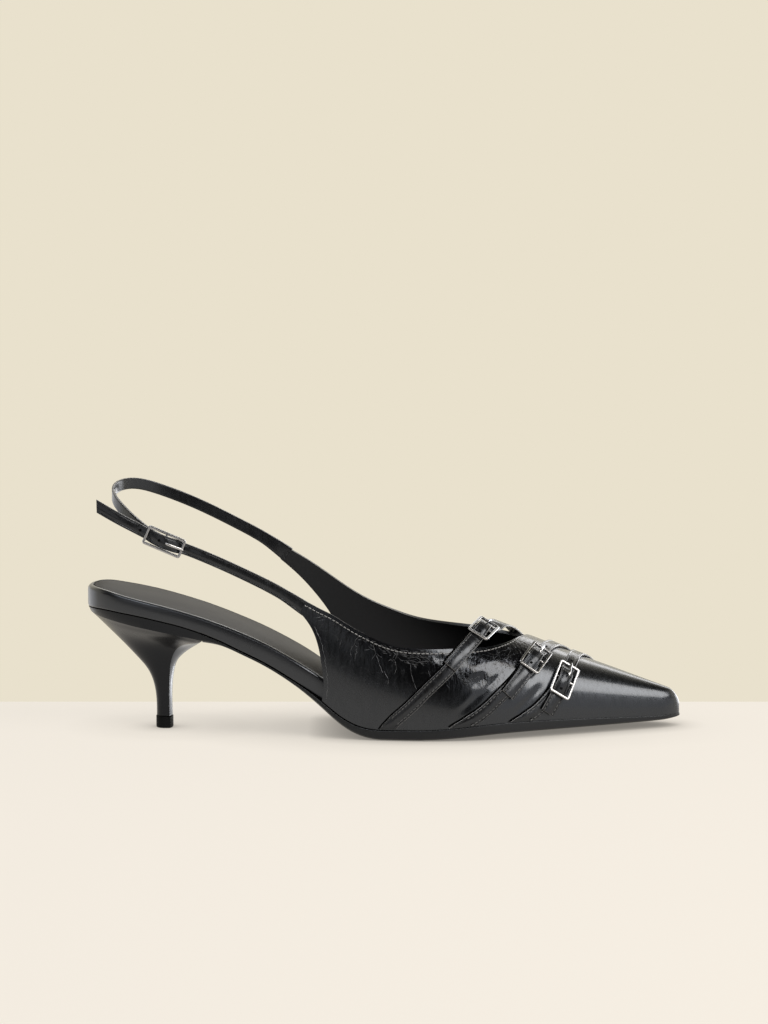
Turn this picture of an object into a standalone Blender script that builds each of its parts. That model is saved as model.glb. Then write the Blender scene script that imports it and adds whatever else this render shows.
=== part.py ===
"""Kitten heel slingback shoe for the right foot, with three buckled straps over the vamp.

Tables are in millimetres: X runs from the back of the heel to the toe, Y from the outer
side of the foot (negative) to the inner side, and Z up from the floor. Angles on the last
run from 0 at the outer feather line over 90 at the ridge to 180 at the inner feather line.
"""

import math
from collections import namedtuple

import bmesh
import bpy
import numpy as np
from mathutils import Matrix, Vector

MM = 0.001
GAP = 0.3
WELD = 1e-7

# Driving sizes of the last
LENGTH = 262.4
TOE_Y = 4.5
TOE_Z = 9.3
TOE_ROUND = 8.0
TOE_TOP_ROUND = 5.0
SEAT_ROUND = 33.0
SEAT_POWER = 2.2

# Sole, insole and sock
SEAT_FRONT = 51.4
BREAST_GAP = 0.4
SOLE_BEVEL = 3.4
SOLE_BEVEL_RISE = 1.1
SOLE_TOP_BEVEL = 0.4
TREAD_BACK = 128.0
TREAD_FRONT = 148.0
INSOLE_GAP = 0.5
SOCK_GAP = 0.4
RIM_ROUND = 1.8
RIM_FLAT = 0.2
SOCK_THICK = 0.8

# Upper
WALL = 1.6
THROAT_X = 199.0
WING_FADE_X = 152.0
WING_STATIONS = 22
TOE_STATIONS = 15
WALL_ROWS = 12

# Straps and buckles
BAND_WIDTH = 6.0
STRAP_WIDTH = 5.6
LEATHER = 1.0
SLING_LEATHER = 1.2
BUCKLE_WIRE = 1.2
BUCKLE_CORNER = 1.5
PRONG_WIRE = 1.0
BUCKLE_PLAY = 0.25
Buckle = namedtuple("Buckle", "length width")
VAMP_BUCKLE = Buckle(17.6, 10.2)
SLING_BUCKLE = Buckle(17.9, 8.8)

# Heel tip
TIP_HEIGHT = 5.2
TIP_LIP = 0.25

# Sole along its length: underside, thickness, and top of the insole
Sole = namedtuple("Sole", "x low thick insole_top")
SOLE = [
    Sole(51.4, 41.4, 3.7, 52.5),
    Sole(60.0, 39.7, 1.8, 49.4),
    Sole(68.0, 36.2, 1.4, 46.2),
    Sole(76.7, 32.0, 1.4, 42.4),
    Sole(85.5, 26.9, 1.6, 37.9),
    Sole(94.3, 20.9, 2.1, 32.9),
    Sole(103.0, 13.8, 2.9, 27.3),
    Sole(111.8, 6.3, 3.5, 20.6),
    Sole(120.5, 1.6, 4.0, 15.0),
    Sole(129.0, 0.0, 4.4, 11.8),
    Sole(140.0, 0.0, 4.6, 9.8),
    Sole(152.0, 0.2, 4.6, 9.0),
    Sole(165.0, 1.0, 4.7, 9.4),
    Sole(182.0, 2.1, 4.9, 10.4),
    Sole(200.0, 2.5, 4.7, 10.8),
    Sole(226.0, 2.7, 3.8, 10.2),
    Sole(245.0, 2.9, 2.9, 9.4),
    Sole(255.0, 3.1, 2.5, 9.0),
    Sole(LENGTH, 3.6, 2.2, 9.0),
]

# Heel seat: join of heel and insole, and top of the insole
Seat = namedtuple("Seat", "x join insole_top")
SEAT = [
    Seat(0.0, 54.6, 64.0),
    Seat(6.0, 55.0, 64.0),
    Seat(15.0, 54.2, 62.2),
    Seat(24.0, 52.8, 60.1),
    Seat(33.0, 50.8, 57.9),
    Seat(42.0, 48.5, 55.4),
    Seat(SEAT_FRONT, 45.3, 52.5),
]

# Sections of the last: reach to each side, ridge, and how square the section is
Section = namedtuple("Section", "x outer inner ridge_y ridge_z square")
SECTIONS = [
    Section(0, 25.5, 25.5, 0.0, 130.0, 2.6),
    Section(40, 26.5, 26.0, 0.0, 130.0, 2.6),
    Section(60, 26.5, 25.0, 0.0, 130.0, 2.6),
    Section(80, 27.5, 24.6, 0.0, 122.0, 2.6),
    Section(100, 30.3, 26.0, 0.5, 108.0, 2.6),
    Section(120, 34.3, 29.0, 1.0, 88.0, 2.6),
    Section(140, 37.3, 33.4, 2.0, 69.0, 2.6),
    Section(155, 37.9, 36.0, 2.5, 58.0, 2.5),
    Section(170, 36.2, 37.0, 3.2, 50.0, 2.4),
    Section(185, 32.2, 35.3, 4.0, 43.8, 2.4),
    Section(200, 26.5, 31.3, 4.6, 38.4, 2.4),
    Section(215, 20.2, 26.2, 5.0, 32.2, 2.4),
    Section(230, 13.8, 20.8, 5.0, 26.8, 2.4),
    Section(245, 7.4, 15.2, 4.8, 21.4, 2.4),
    Section(255, 3.0, 11.5, 4.6, 17.8, 2.4),
    Section(LENGTH, 0.0, 9.0, TOE_Y, 15.0, 2.4),
]

# How far the sole, insole and sock stand in from the feather line
Margin = namedtuple("Margin", "x sole insole sock")
MARGINS = [
    Margin(0, 0.6, 0.0, 2.8),
    Margin(60, 0.6, 0.0, 2.8),
    Margin(85, 0.5, 0.0, 2.8),
    Margin(96, 0.2, 0.5, 3.2),
    Margin(103, -0.2, 2.2, 4.6),
    Margin(112, -0.6, 2.4, 4.4),
    Margin(200, -0.7, 2.4, 3.6),
    Margin(245, -0.5, 2.6, 3.6),
    Margin(LENGTH, -0.2, 3.0, 4.4),
]

# Topline of each side as an angle on the last, from the strap's cut to the throat
Topline = namedtuple("Topline", "x angle")
OUTER_TOPLINE = [
    Topline(97.0, 19.8),
    Topline(103.0, 21.0),
    Topline(108.0, 22.5),
    Topline(116.0, 24.0),
    Topline(125.0, 25.0),
    Topline(133.0, 25.8),
    Topline(138.0, 27.0),
    Topline(147.0, 31.2),
    Topline(155.5, 36.1),
    Topline(164.0, 41.6),
    Topline(174.0, 48.2),
    Topline(182.0, 57.2),
    Topline(186.5, 65.4),
    Topline(189.6, 74.0),
    Topline(192.6, 85.0),
    Topline(195.6, 96.0),
    Topline(198.0, 104.6),
    Topline(THROAT_X, 109.0),
]
INNER_TOPLINE = [
    Topline(87.9, 152.2),
    Topline(93.4, 151.8),
    Topline(102.3, 150.9),
    Topline(111.3, 149.5),
    Topline(120.2, 148.3),
    Topline(129.2, 147.0),
    Topline(138.2, 145.3),
    Topline(147.2, 142.4),
    Topline(156.2, 137.6),
    Topline(165.0, 132.0),
    Topline(173.0, 126.6),
    Topline(184.3, 119.6),
    Topline(190.0, 115.6),
    Topline(194.5, 112.8),
    Topline(197.6, 110.8),
    Topline(THROAT_X, 109.0),
]
TOE_SEAM = [
    Topline(THROAT_X, 109.0),
    Topline(210.0, 100.0),
    Topline(222.0, 93.0),
    Topline(235.0, 90.0),
    Topline(LENGTH, 90.0),
]

# Back edge of each wing, from the feather line up to the strap's cut
Edge = namedtuple("Edge", "x z")
OUTER_WING = [
    Edge(103.9, 17.0),
    Edge(104.6, 23.5),
    Edge(104.0, 30.2),
    Edge(103.0, 36.8),
    Edge(101.3, 43.5),
    Edge(98.7, 49.2),
    Edge(94.3, 54.9),
    Edge(97.0, 59.7),
]
INNER_WING = [
    Edge(110.8, 10.6),
    Edge(112.0, 20.0),
    Edge(112.0, 29.0),
    Edge(110.6, 38.0),
    Edge(107.4, 46.6),
    Edge(102.4, 54.2),
    Edge(97.6, 60.2),
    Edge(92.0, 66.2),
    Edge(84.5, 72.9),
    Edge(87.9, 77.9),
]

# Heel from the seat down to the tip: back and front edge, half width, and breast bulge
Ring = namedtuple("Ring", "back_x back_z front_x front_z half bulge")
HEEL = [
    Ring(1.1, 52.8, SEAT_FRONT, 42.4, 25.7, 0.0),
    Ring(3.0, 51.0, 50.4, 41.4, 23.6, 0.8),
    Ring(5.6, 48.4, 47.6, 40.4, 20.6, 3.4),
    Ring(9.8, 44.1, 43.6, 39.2, 15.6, 7.2),
    Ring(14.0, 39.8, 40.7, 37.5, 11.8, 8.4),
    Ring(18.3, 35.3, 38.6, 35.0, 9.3, 6.4),
    Ring(22.6, 30.6, 37.0, 30.9, 7.3, 3.2),
    Ring(26.0, 26.4, 36.3, 26.2, 6.0, 1.9),
    Ring(28.4, 21.4, 36.0, 21.0, 5.2, 1.4),
    Ring(29.7, 15.6, 35.9, 15.2, 4.7, 1.2),
    Ring(30.1, 10.0, 35.9, 9.8, 4.5, 1.2),
    Ring(30.1, TIP_HEIGHT + GAP, 36.0, TIP_HEIGHT + GAP, 4.5, 1.2),
]

# Vamp straps as routes over the last: the outer band up towards the buckle's bar, the inner
# strap from its free tab through the buckle to the inner feather line, and the distance of
# the buckle's middle from the tab's tip
Fold = namedtuple("Fold", "x angle")
VampStrap = namedtuple("VampStrap", "band strap buckle_at")
VAMP_STRAPS = [
    VampStrap(
        [Fold(134, 0.6), Fold(142, 5), Fold(150, 13), Fold(158.7, 25), Fold(169.5, 50), Fold(175.2, 70)],
        [
            Fold(159.5, 27), Fold(169.5, 50), Fold(175.2, 70), Fold(179.3, 84),
            Fold(184.5, 100), Fold(190, 120), Fold(197, 145), Fold(205, 179.4),
        ],
        27.4,
    ),
    VampStrap(
        [Fold(166, 0.6), Fold(174, 5), Fold(181, 13), Fold(188.6, 26), Fold(197.6, 53)],
        [
            Fold(184.5, 15), Fold(190, 27), Fold(197.6, 53), Fold(201.5, 68),
            Fold(206, 90), Fold(212, 115), Fold(218, 145), Fold(224, 179.4),
        ],
        22.6,
    ),
    VampStrap(
        [Fold(192, 0.6), Fold(197.5, 5), Fold(203, 14), Fold(206.8, 24), Fold(210, 38)],
        [
            Fold(201.8, 4), Fold(206.4, 18), Fold(210, 38), Fold(213, 57),
            Fold(216.5, 90), Fold(221, 115), Fold(226, 145), Fold(231, 179.4),
        ],
        16.4,
    ),
]

# Sling strap and billet strap as routes in space
Bend = namedtuple("Bend", "x y z width")
SLING_ROUTE = [
    Bend(86.1, 22.2, 75.5, 5.9),
    Bend(76.0, 22.0, 82.5, 5.2),
    Bend(66.5, 21.9, 87.7, 5.0),
    Bend(48.7, 21.4, 96.6, 5.0),
    Bend(31.2, 18.0, 104.0, 5.0),
    Bend(20.4, 12.4, 107.3, 5.0),
    Bend(13.8, 5.4, 107.0, 5.0),
    Bend(11.6, -2.0, 104.9, 5.0),
    Bend(13.2, -9.4, 101.8, 5.0),
    Bend(18.4, -17.4, 97.2, 5.0),
    Bend(23.6, -22.9, 93.2, 5.0),
    Bend(28.4, -25.7, 89.9, 5.0),
    Bend(33.2, -27.6, 87.4, 5.0),
]
BILLET_ROUTE = [
    Bend(94.9, -27.9, 57.9, 5.4),
    Bend(85.6, -26.9, 63.9, 5.2),
    Bend(76.9, -26.5, 68.5, 5.1),
    Bend(68.2, -26.4, 72.7, 5.0),
    Bend(59.4, -26.6, 76.8, 5.0),
    Bend(50.7, -27.0, 80.6, 5.0),
    Bend(42.9, -27.2, 83.6, 5.0),
    Bend(35.2, -30.8, 86.6, 5.0),
    Bend(27.6, -27.2, 90.0, 5.0),
    Bend(17.0, -27.3, 95.6, 5.0),
    Bend(5.8, -27.0, 102.0, 5.0),
]
SLING_BUCKLE_AT = (35.2, -29.0, 86.6)
SLING_BUCKLE_ALONG = (0.919, 0.0, -0.394)

# Colours, roughness and metal of each finish
Finish = namedtuple("Finish", "colour roughness metallic")
FINISHES = {
    "crinkled_leather": Finish((0.012, 0.012, 0.013), 0.22, 0.0),
    "smooth_leather": Finish((0.016, 0.016, 0.017), 0.28, 0.0),
    "sock_leather": Finish((0.035, 0.035, 0.037), 0.5, 0.0),
    "heel_lacquer": Finish((0.012, 0.012, 0.013), 0.2, 0.0),
    "sole_rubber": Finish((0.018, 0.018, 0.018), 0.45, 0.0),
    "tip_rubber": Finish((0.02, 0.02, 0.02), 0.7, 0.0),
    "polished_steel": Finish((0.75, 0.75, 0.76), 0.12, 1.0),
}


class Curve:
    """Smooth curve through the rows of a table, as a natural cubic spline."""

    def __init__(self, at, values):
        self.at = np.array(at, float)
        self.values = np.array(values, float)
        count = len(self.at)
        step = np.diff(self.at)
        rise = np.diff(self.values) / step
        matrix = np.eye(count)
        target = np.zeros(count)
        for i in range(1, count - 1):
            matrix[i, i - 1 : i + 2] = step[i - 1], 2 * (step[i - 1] + step[i]), step[i]
            target[i] = 6 * (rise[i] - rise[i - 1])
        self.bend = np.linalg.solve(matrix, target)

    def __call__(self, x):
        x = min(max(x, self.at[0]), self.at[-1])
        i = min(max(int(np.searchsorted(self.at, x, side="right")) - 1, 0), len(self.at) - 2)
        step = self.at[i + 1] - self.at[i]
        a = (self.at[i + 1] - x) / step
        b = 1 - a
        curl = ((a**3 - a) * self.bend[i] + (b**3 - b) * self.bend[i + 1]) * step * step / 6
        return float(a * self.values[i] + b * self.values[i + 1] + curl)


def column(table, name, key="x"):
    return Curve([getattr(row, key) for row in table], [getattr(row, name) for row in table])


def eased(x, rows):
    """Value at x between (at, value) rows, level at each row and smooth between them."""
    for (x0, v0), (x1, v1) in zip(rows, rows[1:]):
        if x <= x1:
            k = min(max((x - x0) / (x1 - x0), 0.0), 1.0)
            return v0 + (v1 - v0) * k * k * (3 - 2 * k)
    return rows[-1][1]


sole_low = column(SOLE, "low")
sole_thick = column(SOLE, "thick")
fore_insole_top = column(SOLE, "insole_top")
seat_join = column(SEAT, "join")
seat_insole_top = column(SEAT, "insole_top")
outer_reach = column(SECTIONS, "outer")
inner_reach = column(SECTIONS, "inner")
ridge_side = column(SECTIONS, "ridge_y")
ridge_height = column(SECTIONS, "ridge_z")
squareness = column(SECTIONS, "square")
sole_margin = column(MARGINS, "sole")
insole_margin = column(MARGINS, "insole")
sock_margin = column(MARGINS, "sock")


# The last's own form


def toe_taper(x, length=TOE_ROUND):
    """1 along the shoe, falling round to 0 at the toe's tip."""
    k = min(max((x - (LENGTH - length)) / length, 0.0), 1.0)
    return math.sqrt(1 - k * k)


def seat_taper(x):
    """1 along the shoe, falling round to 0 at the back of the heel."""
    k = min(max((SEAT_ROUND - x) / SEAT_ROUND, 0.0), 1.0)
    return (1 - k**SEAT_POWER) ** (1 / SEAT_POWER)


def plan(x, side):
    """Y of the feather line at x, on the outer side (-1) or the inner side (1)."""
    reach = inner_reach(x) if side > 0 else -outer_reach(x)
    return TOE_Y + (reach * seat_taper(x) - TOE_Y) * toe_taper(x)


def sole_bottom(x):
    """Height of the sole's underside, flat on the floor along the tread."""
    return 0.0 if TREAD_BACK <= x <= TREAD_FRONT else max(0.0, sole_low(x))


def sole_top(x):
    return sole_bottom(x) + sole_thick(x)


def feather(x):
    """Height of the upper's lower edge, just above the sole."""
    return sole_top(x) + GAP


def ridge(x):
    side = TOE_Y + (ridge_side(x) - TOE_Y) * toe_taper(x)
    height = TOE_Z + (ridge_height(x) - TOE_Z) * toe_taper(x, TOE_TOP_ROUND)
    return side, height


def last_point(x, angle):
    turn = math.radians(angle)
    power = 2 / squareness(x)
    side, height = ridge(x)
    reach = plan(x, -1 if angle <= 90 else 1) - side
    base = feather(x)
    return Vector((
        x,
        side + reach * abs(math.cos(turn)) ** power,
        base + (height - base) * abs(math.sin(turn)) ** power,
    ))


def last_slopes(x, angle):
    """How the surface point moves per millimetre of x and per degree of angle."""
    step = 0.2
    turn = min(max(angle, 2 * step), 180 - 2 * step)
    along = (last_point(x + step, turn) - last_point(x - step, turn)) / (2 * step)
    around = (last_point(x, turn + step) - last_point(x, turn - step)) / (2 * step)
    return along, around


def last_normal(x, angle):
    along, around = last_slopes(x, angle)
    return around.cross(along).normalized() * -1


def angle_at(x, z):
    """Angle from the nearer feather line at which the last reaches height z."""
    base = feather(x)
    share = min(max((z - base) / (ridge(x)[1] - base), 0.0), 1.0)
    return math.degrees(math.asin(share ** (squareness(x) / 2)))


# Mesh helpers


def finish_material(name):
    material = bpy.data.materials.get(name)
    if material is None:
        finish = FINISHES[name]
        material = bpy.data.materials.new(name)
        material.use_nodes = True
        shader = material.node_tree.nodes["Principled BSDF"]
        shader.inputs["Base Color"].default_value = (*finish.colour, 1)
        shader.inputs["Roughness"].default_value = finish.roughness
        shader.inputs["Metallic"].default_value = finish.metallic
    return material


def make_mesh(name, points, faces, closed=True):
    """A mesh of points in millimetres, welded, with its faces turned outwards if it is closed."""
    mesh = bpy.data.meshes.new(name)
    mesh.from_pydata([tuple(Vector(p) * MM) for p in points], [], faces)
    shape = bmesh.new()
    shape.from_mesh(mesh)
    bmesh.ops.remove_doubles(shape, verts=shape.verts, dist=WELD)
    bmesh.ops.dissolve_degenerate(shape, edges=shape.edges, dist=WELD)
    if closed:
        bmesh.ops.recalc_face_normals(shape, faces=shape.faces)
        if shape.calc_volume(signed=True) < 0:
            bmesh.ops.reverse_faces(shape, faces=shape.faces)
    shape.to_mesh(mesh)
    shape.free()
    mesh.shade_smooth()
    mesh.set_sharp_from_angle(angle=math.radians(40))
    return mesh


def place(name, mesh, finish, parent):
    thing = bpy.data.objects.new(name, mesh)
    bpy.context.scene.collection.objects.link(thing)
    mesh.materials.clear()
    mesh.materials.append(finish_material(finish))
    thing.parent = parent
    return thing


def loft(rings, first_cap, last_cap):
    """Points and faces of closed rings of equal count, with a list of cap faces for each end."""
    count = len(rings[0])
    points = [p for ring in rings for p in ring]
    faces = []
    for r in range(len(rings) - 1):
        for k in range(count):
            n = (k + 1) % count
            faces.append((r * count + k, r * count + n, (r + 1) * count + n, (r + 1) * count + k))
    faces += first_cap
    base = (len(rings) - 1) * count
    faces += [tuple(base + k for k in cap) for cap in last_cap]
    return points, faces


# Pieces under the foot


def outline_ring(stations, margin, height, round_back):
    """Loop round the plan outline: the outer side from back to toe, then the inner side back."""
    inner_first = 1 if round_back else 0
    flat = [Vector((x, plan(x, -1))) for x in stations]
    flat += [Vector((x, plan(x, 1))) for x in reversed(stations[inner_first:-1])]
    loop = []
    for k, point in enumerate(flat):
        ahead = flat[(k + 1) % len(flat)] - flat[k - 1]
        inward = Vector((-ahead.y, ahead.x)).normalized()
        if not round_back and k in (0, len(flat) - 1):
            inward = Vector((0.0, 1.0 if k == 0 else -1.0))
        moved = point + inward * margin(point.x)
        loop.append((moved.x, moved.y, height(moved.x)))
    return loop


def outline_cap(count, round_back):
    """Faces across an outline loop, from each outer point to the inner point beside it."""
    total = 2 * count - (2 if round_back else 1)
    mate = {k: (total - k) % total if round_back else total - 1 - k for k in range(count)}
    faces = []
    for k in range(count - 1):
        corners = [k, k + 1, mate[k + 1], mate[k]]
        faces.append(tuple(dict.fromkeys(corners)))
    return faces


def both_ends_round(first, last, count):
    return [first + (last - first) * (1 - math.cos(math.pi * k / count)) / 2 for k in range(count + 1)]


def far_end_round(first, last, count):
    return [first + (last - first) * math.sin(math.pi / 2 * k / count) for k in range(count + 1)]


def insole_top(x):
    return seat_insole_top(x) if x < SEAT_FRONT else fore_insole_top(x)


def insole_underside(x):
    return seat_join(x) + GAP / 2 if x < SEAT_FRONT else sole_top(x) + INSOLE_GAP


def sock_recess(x):
    return sock_margin(x) - SOCK_GAP


def sock_bed(x):
    """Height of the recess in the insole that the sock lies in, flush with the rim."""
    return insole_top(x) - SOCK_GAP - SOCK_THICK


def rim_round(x):
    return min(RIM_ROUND, sock_recess(x) - insole_margin(x) - RIM_FLAT)


def build_outsole(parent):
    stations = far_end_round(SEAT_FRONT + BREAST_GAP, LENGTH, 40)

    def rise(x):
        return min(SOLE_BEVEL_RISE, 0.4 * sole_thick(x))

    rings = [
        outline_ring(stations, lambda x: sole_margin(x) + SOLE_BEVEL, sole_bottom, False),
        outline_ring(stations, sole_margin, lambda x: sole_bottom(x) + rise(x), False),
        outline_ring(stations, sole_margin, lambda x: sole_top(x) - SOLE_TOP_BEVEL, False),
        outline_ring(stations, lambda x: sole_margin(x) + SOLE_TOP_BEVEL, sole_top, False),
    ]
    cap = outline_cap(len(stations), False)
    place("outsole", make_mesh("outsole", *loft(rings, cap, cap)), "sole_rubber", parent)


def build_insole(parent):
    stations = both_ends_round(0.0, LENGTH, 40)

    def rim(share):
        return lambda x: insole_margin(x) + share * rim_round(x)

    rings = [
        outline_ring(stations, rim(0.5), insole_underside, True),
        outline_ring(stations, rim(0.0), lambda x: insole_underside(x) + RIM_ROUND / 2, True),
        outline_ring(stations, rim(0.0), lambda x: insole_top(x) - RIM_ROUND, True),
        outline_ring(stations, rim(0.3), lambda x: insole_top(x) - RIM_ROUND * 0.3, True),
        outline_ring(stations, rim(1.0), insole_top, True),
        outline_ring(stations, sock_recess, insole_top, True),
        outline_ring(stations, sock_recess, sock_bed, True),
    ]
    cap = outline_cap(len(stations), True)
    place("insole", make_mesh("insole", *loft(rings, cap, cap)), "smooth_leather", parent)


def build_insock(parent):
    stations = both_ends_round(0.0, LENGTH, 40)
    rings = [
        outline_ring(stations, sock_margin, lambda x: insole_top(x) - SOCK_THICK, True),
        outline_ring(stations, sock_margin, insole_top, True),
    ]
    cap = outline_cap(len(stations), True)
    place("insock", make_mesh("insock", *loft(rings, cap, cap)), "sock_leather", parent)


# Heel and top piece


def heel_ring(row, height, grow=0.0, side_steps=10, front_steps=6):
    """Loop of one heel section: outer side from back to breast, across the breast, and back."""
    span = row.front_x - row.back_x
    sides = {-1: [], 1: []}
    for side in sides:
        for k in range(side_steps + 1):
            share = 1 - math.cos(math.pi / 2 * k / side_steps)
            x = row.back_x - grow + (span + 2 * grow) * share
            y = plan(share * SEAT_FRONT, side) * (row.half + grow) / outer_reach(SEAT_FRONT)
            sides[side].append((x, y, height(x, share)))
    outer_corner, inner_corner = sides[-1][-1], sides[1][-1]
    breast = []
    for k in range(1, front_steps):
        share = k / front_steps
        x = outer_corner[0] + row.bulge * (1 - (2 * share - 1) ** 2)
        y = outer_corner[1] * (1 - share) + inner_corner[1] * share
        breast.append((x, y, height(x, 1.0)))
    return sides[-1] + breast + sides[1][:0:-1]


def heel_cap(side_steps=10, front_steps=6):
    total = 2 * side_steps + front_steps
    faces = []
    for k in range(side_steps - 1):
        faces.append(tuple(dict.fromkeys([k, k + 1, total - k - 1, (total - k) % total])))
    last = side_steps - 1
    faces.append(tuple(range(last, total - last + 1)))
    return faces


def build_heel(parent):
    seat_row = Ring(0.3, 0.0, SEAT_FRONT, 0.0, outer_reach(SEAT_FRONT) - 0.2, 0.0)
    rings = [heel_ring(seat_row, lambda x, share: seat_join(x) - GAP / 2)]
    for row in HEEL:
        rings.append(heel_ring(row, lambda x, share, row=row: row.back_z + (row.front_z - row.back_z) * share))
    place("heel", make_mesh("heel", *loft(rings, heel_cap(), heel_cap())), "heel_lacquer", parent)


def build_top_piece(parent):
    levels = [(TIP_HEIGHT, TIP_LIP), (0.5, TIP_LIP), (0.0, -0.1)]
    rings = [heel_ring(HEEL[-1], lambda x, share, z=z: z, grow) for z, grow in levels]
    mesh = make_mesh("heel_top_piece", *loft(rings, heel_cap(), heel_cap()))
    place("heel_top_piece", mesh, "tip_rubber", parent)


# Upper


def wing_edge(table, side):
    """Station along a wing's back edge: x and share of the topline's angle against share of height."""
    angles = [angle_at(row.x, row.z) for row in table]
    points = [last_point(row.x, a if side < 0 else 180 - a) for row, a in zip(table, angles)]
    run = np.cumsum([0.0] + [(b - a).length for a, b in zip(points, points[1:])])
    run = run / run[-1]
    return Curve(run, [row.x for row in table]), Curve(run, [a / angles[-1] for a in angles])


def upper_stations(first_x):
    """Feather line x of each station, with the throat as one of them, and how far the wing's edge shows in it."""
    back = far_end_round(first_x, THROAT_X, WING_STATIONS)
    front = far_end_round(THROAT_X, LENGTH, TOE_STATIONS)[1:]
    stations = []
    for x in back + front:
        fade = min(max((WING_FADE_X - x) / (WING_FADE_X - first_x), 0.0), 1.0)
        stations.append((x, fade**1.5))
    return stations


def upper_half(side):
    """Grid of (x, angle) over one half of the upper, a row of points for each station."""
    wing = OUTER_WING if side < 0 else INNER_WING
    topline = column(OUTER_TOPLINE if side < 0 else INNER_TOPLINE, "angle")
    seam = column(TOE_SEAM, "angle")
    edge_x, edge_share = wing_edge(wing, side)
    grid = []
    for foot_x, fade in upper_stations(wing[0].x):
        top_x = foot_x + (edge_x(1.0) - wing[0].x) * fade
        top = topline(top_x) if foot_x < THROAT_X else seam(foot_x)
        row = []
        for k in range(WALL_ROWS + 1):
            share = k / WALL_ROWS
            x = foot_x + (edge_x(share) - wing[0].x) * fade
            climb = edge_share(share) * fade + share * (1 - fade)
            row.append((x, top * climb if side < 0 else 180 - (180 - top) * climb))
        grid.append(row)
    return grid


def build_upper(parent):
    points = []
    faces = []
    for side in (-1, 1):
        base = len(points)
        grid = upper_half(side)
        width = WALL_ROWS + 1
        points += [last_point(x, angle) for row in grid for x, angle in row]
        for i in range(len(grid) - 1):
            for k in range(WALL_ROWS):
                a = base + i * width + k
                quad = (a, a + width, a + width + 1, a + 1)
                faces.append(quad if side < 0 else quad[::-1])
    upper = place("upper", make_mesh("upper", points, faces, closed=False), "crinkled_leather", parent)
    wall = upper.modifiers.new("wall", "SOLIDIFY")
    wall.thickness = WALL * MM
    wall.offset = -1
    wall.use_rim = True


# Straps


class Route:
    """Smooth route over the last through (x, angle) folds, measured in millimetres along it."""

    def __init__(self, folds):
        points = [last_point(f.x, f.angle) for f in folds]
        self.at = np.cumsum([0.0] + [(b - a).length for a, b in zip(points, points[1:])])
        self.x = Curve(self.at, [f.x for f in folds])
        self.angle = Curve(self.at, [f.angle for f in folds])
        self.length = float(self.at[-1])

    def point(self, s, lift=0.0):
        x, angle = self.x(s), self.angle(s)
        return last_point(x, angle) + last_normal(x, angle) * lift

    def nearest(self, point):
        """Distance along the route at which it passes nearest to a point."""
        steps = np.linspace(0.0, self.length, 400)
        return float(min(steps, key=lambda s: (self.point(s) - point).length))

    def across(self, s, reach):
        """(x, angle) at a distance to the side of the route, kept between the feather lines."""
        x, angle = self.x(s), self.angle(s)
        ahead = (self.point(s + 0.5) - self.point(s - 0.5)).normalized()
        sideways = last_normal(x, angle).cross(ahead) * reach
        along, around = last_slopes(x, angle)
        turn = (sideways - along * sideways.x).dot(around) / around.length_squared
        return x + sideways.x, min(max(angle + turn, 0.6), 179.4)


def band_faces(stations, width):
    """Faces of a band made of rings: the under side's points, then the upper side's points in reverse."""
    count = 2 * width
    faces = []
    for r in range(stations - 1):
        for k in range(count):
            n = (k + 1) % count
            faces.append((r * count + k, r * count + n, (r + 1) * count + n, (r + 1) * count + k))
    base = (stations - 1) * count
    faces.append(tuple(range(count)))
    faces.append(tuple(base + k for k in range(count)))
    return faces


def surface_band(route, first, last, width, lift, steps):
    """A strap lying over the last, from one distance along its route to another."""
    points = []
    for i in range(steps + 1):
        s = first + (last - first) * i / steps
        under = []
        over = []
        for share in (-0.5, 0.0, 0.5):
            x, angle = route.across(s, width * share)
            normal = last_normal(x, angle)
            under.append(last_point(x, angle) + normal * lift(s))
            over.append(last_point(x, angle) + normal * (lift(s) + LEATHER))
        points += under + over[::-1]
    return points, band_faces(steps + 1, 3)


def buckle_seat(route, middle):
    """Middle, length direction and face normal of a flat buckle lying over its strap."""
    half = (VAMP_BUCKLE.length - BUCKLE_WIRE) / 2
    high_lift = 2 * GAP + LEATHER + BUCKLE_WIRE / 2 + BUCKLE_PLAY
    low_lift = high_lift + GAP + LEATHER
    surface = route.point(middle)
    normal = last_normal(route.x(middle), route.angle(middle))
    low = route.point(middle - half, low_lift)
    high = route.point(middle + half, high_lift)
    clearance = ((low + high) / 2 - surface).dot(normal)
    raise_by = max(0.0, GAP + BUCKLE_WIRE / 2 + LEATHER - clearance)
    along = (high - low).normalized()
    normal = (normal - along * normal.dot(along)).normalized()
    return (low + high) / 2 + normal * raise_by, along, normal, clearance + raise_by


def build_vamp_straps(parent):
    half = VAMP_BUCKLE.length / 2
    for number, strap in enumerate(VAMP_STRAPS, 1):
        band = Route(strap.band)
        tie = Route(strap.strap)
        middle = strap.buckle_at
        seat = buckle_seat(tie, middle)
        hump = seat[3] + BUCKLE_WIRE / 2 + GAP + BUCKLE_PLAY
        on_band = 2 * GAP + LEATHER
        lifts = [
            (0.0, on_band),
            (middle - half + BUCKLE_WIRE, on_band),
            (middle - 1.0, hump),
            (middle + 1.0, hump),
            (middle + half - BUCKLE_WIRE, GAP),
            (tie.length, GAP),
        ]
        band_end = band.nearest(tie.point(middle)) - BUCKLE_WIRE / 2 - GAP
        shape = surface_band(band, 0.0, band_end, BAND_WIDTH, lambda s: GAP, 14)
        place(f"vamp_band_{number}", make_mesh(f"vamp_band_{number}", *shape), "crinkled_leather", parent)
        shape = surface_band(tie, 0.0, tie.length, STRAP_WIDTH, lambda s, rows=lifts: eased(s, rows), 30)
        place(f"vamp_strap_{number}", make_mesh(f"vamp_strap_{number}", *shape), "crinkled_leather", parent)
        build_buckle(f"vamp_buckle_{number}", f"vamp_prong_{number}", VAMP_BUCKLE, seat[:3], parent)


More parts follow.
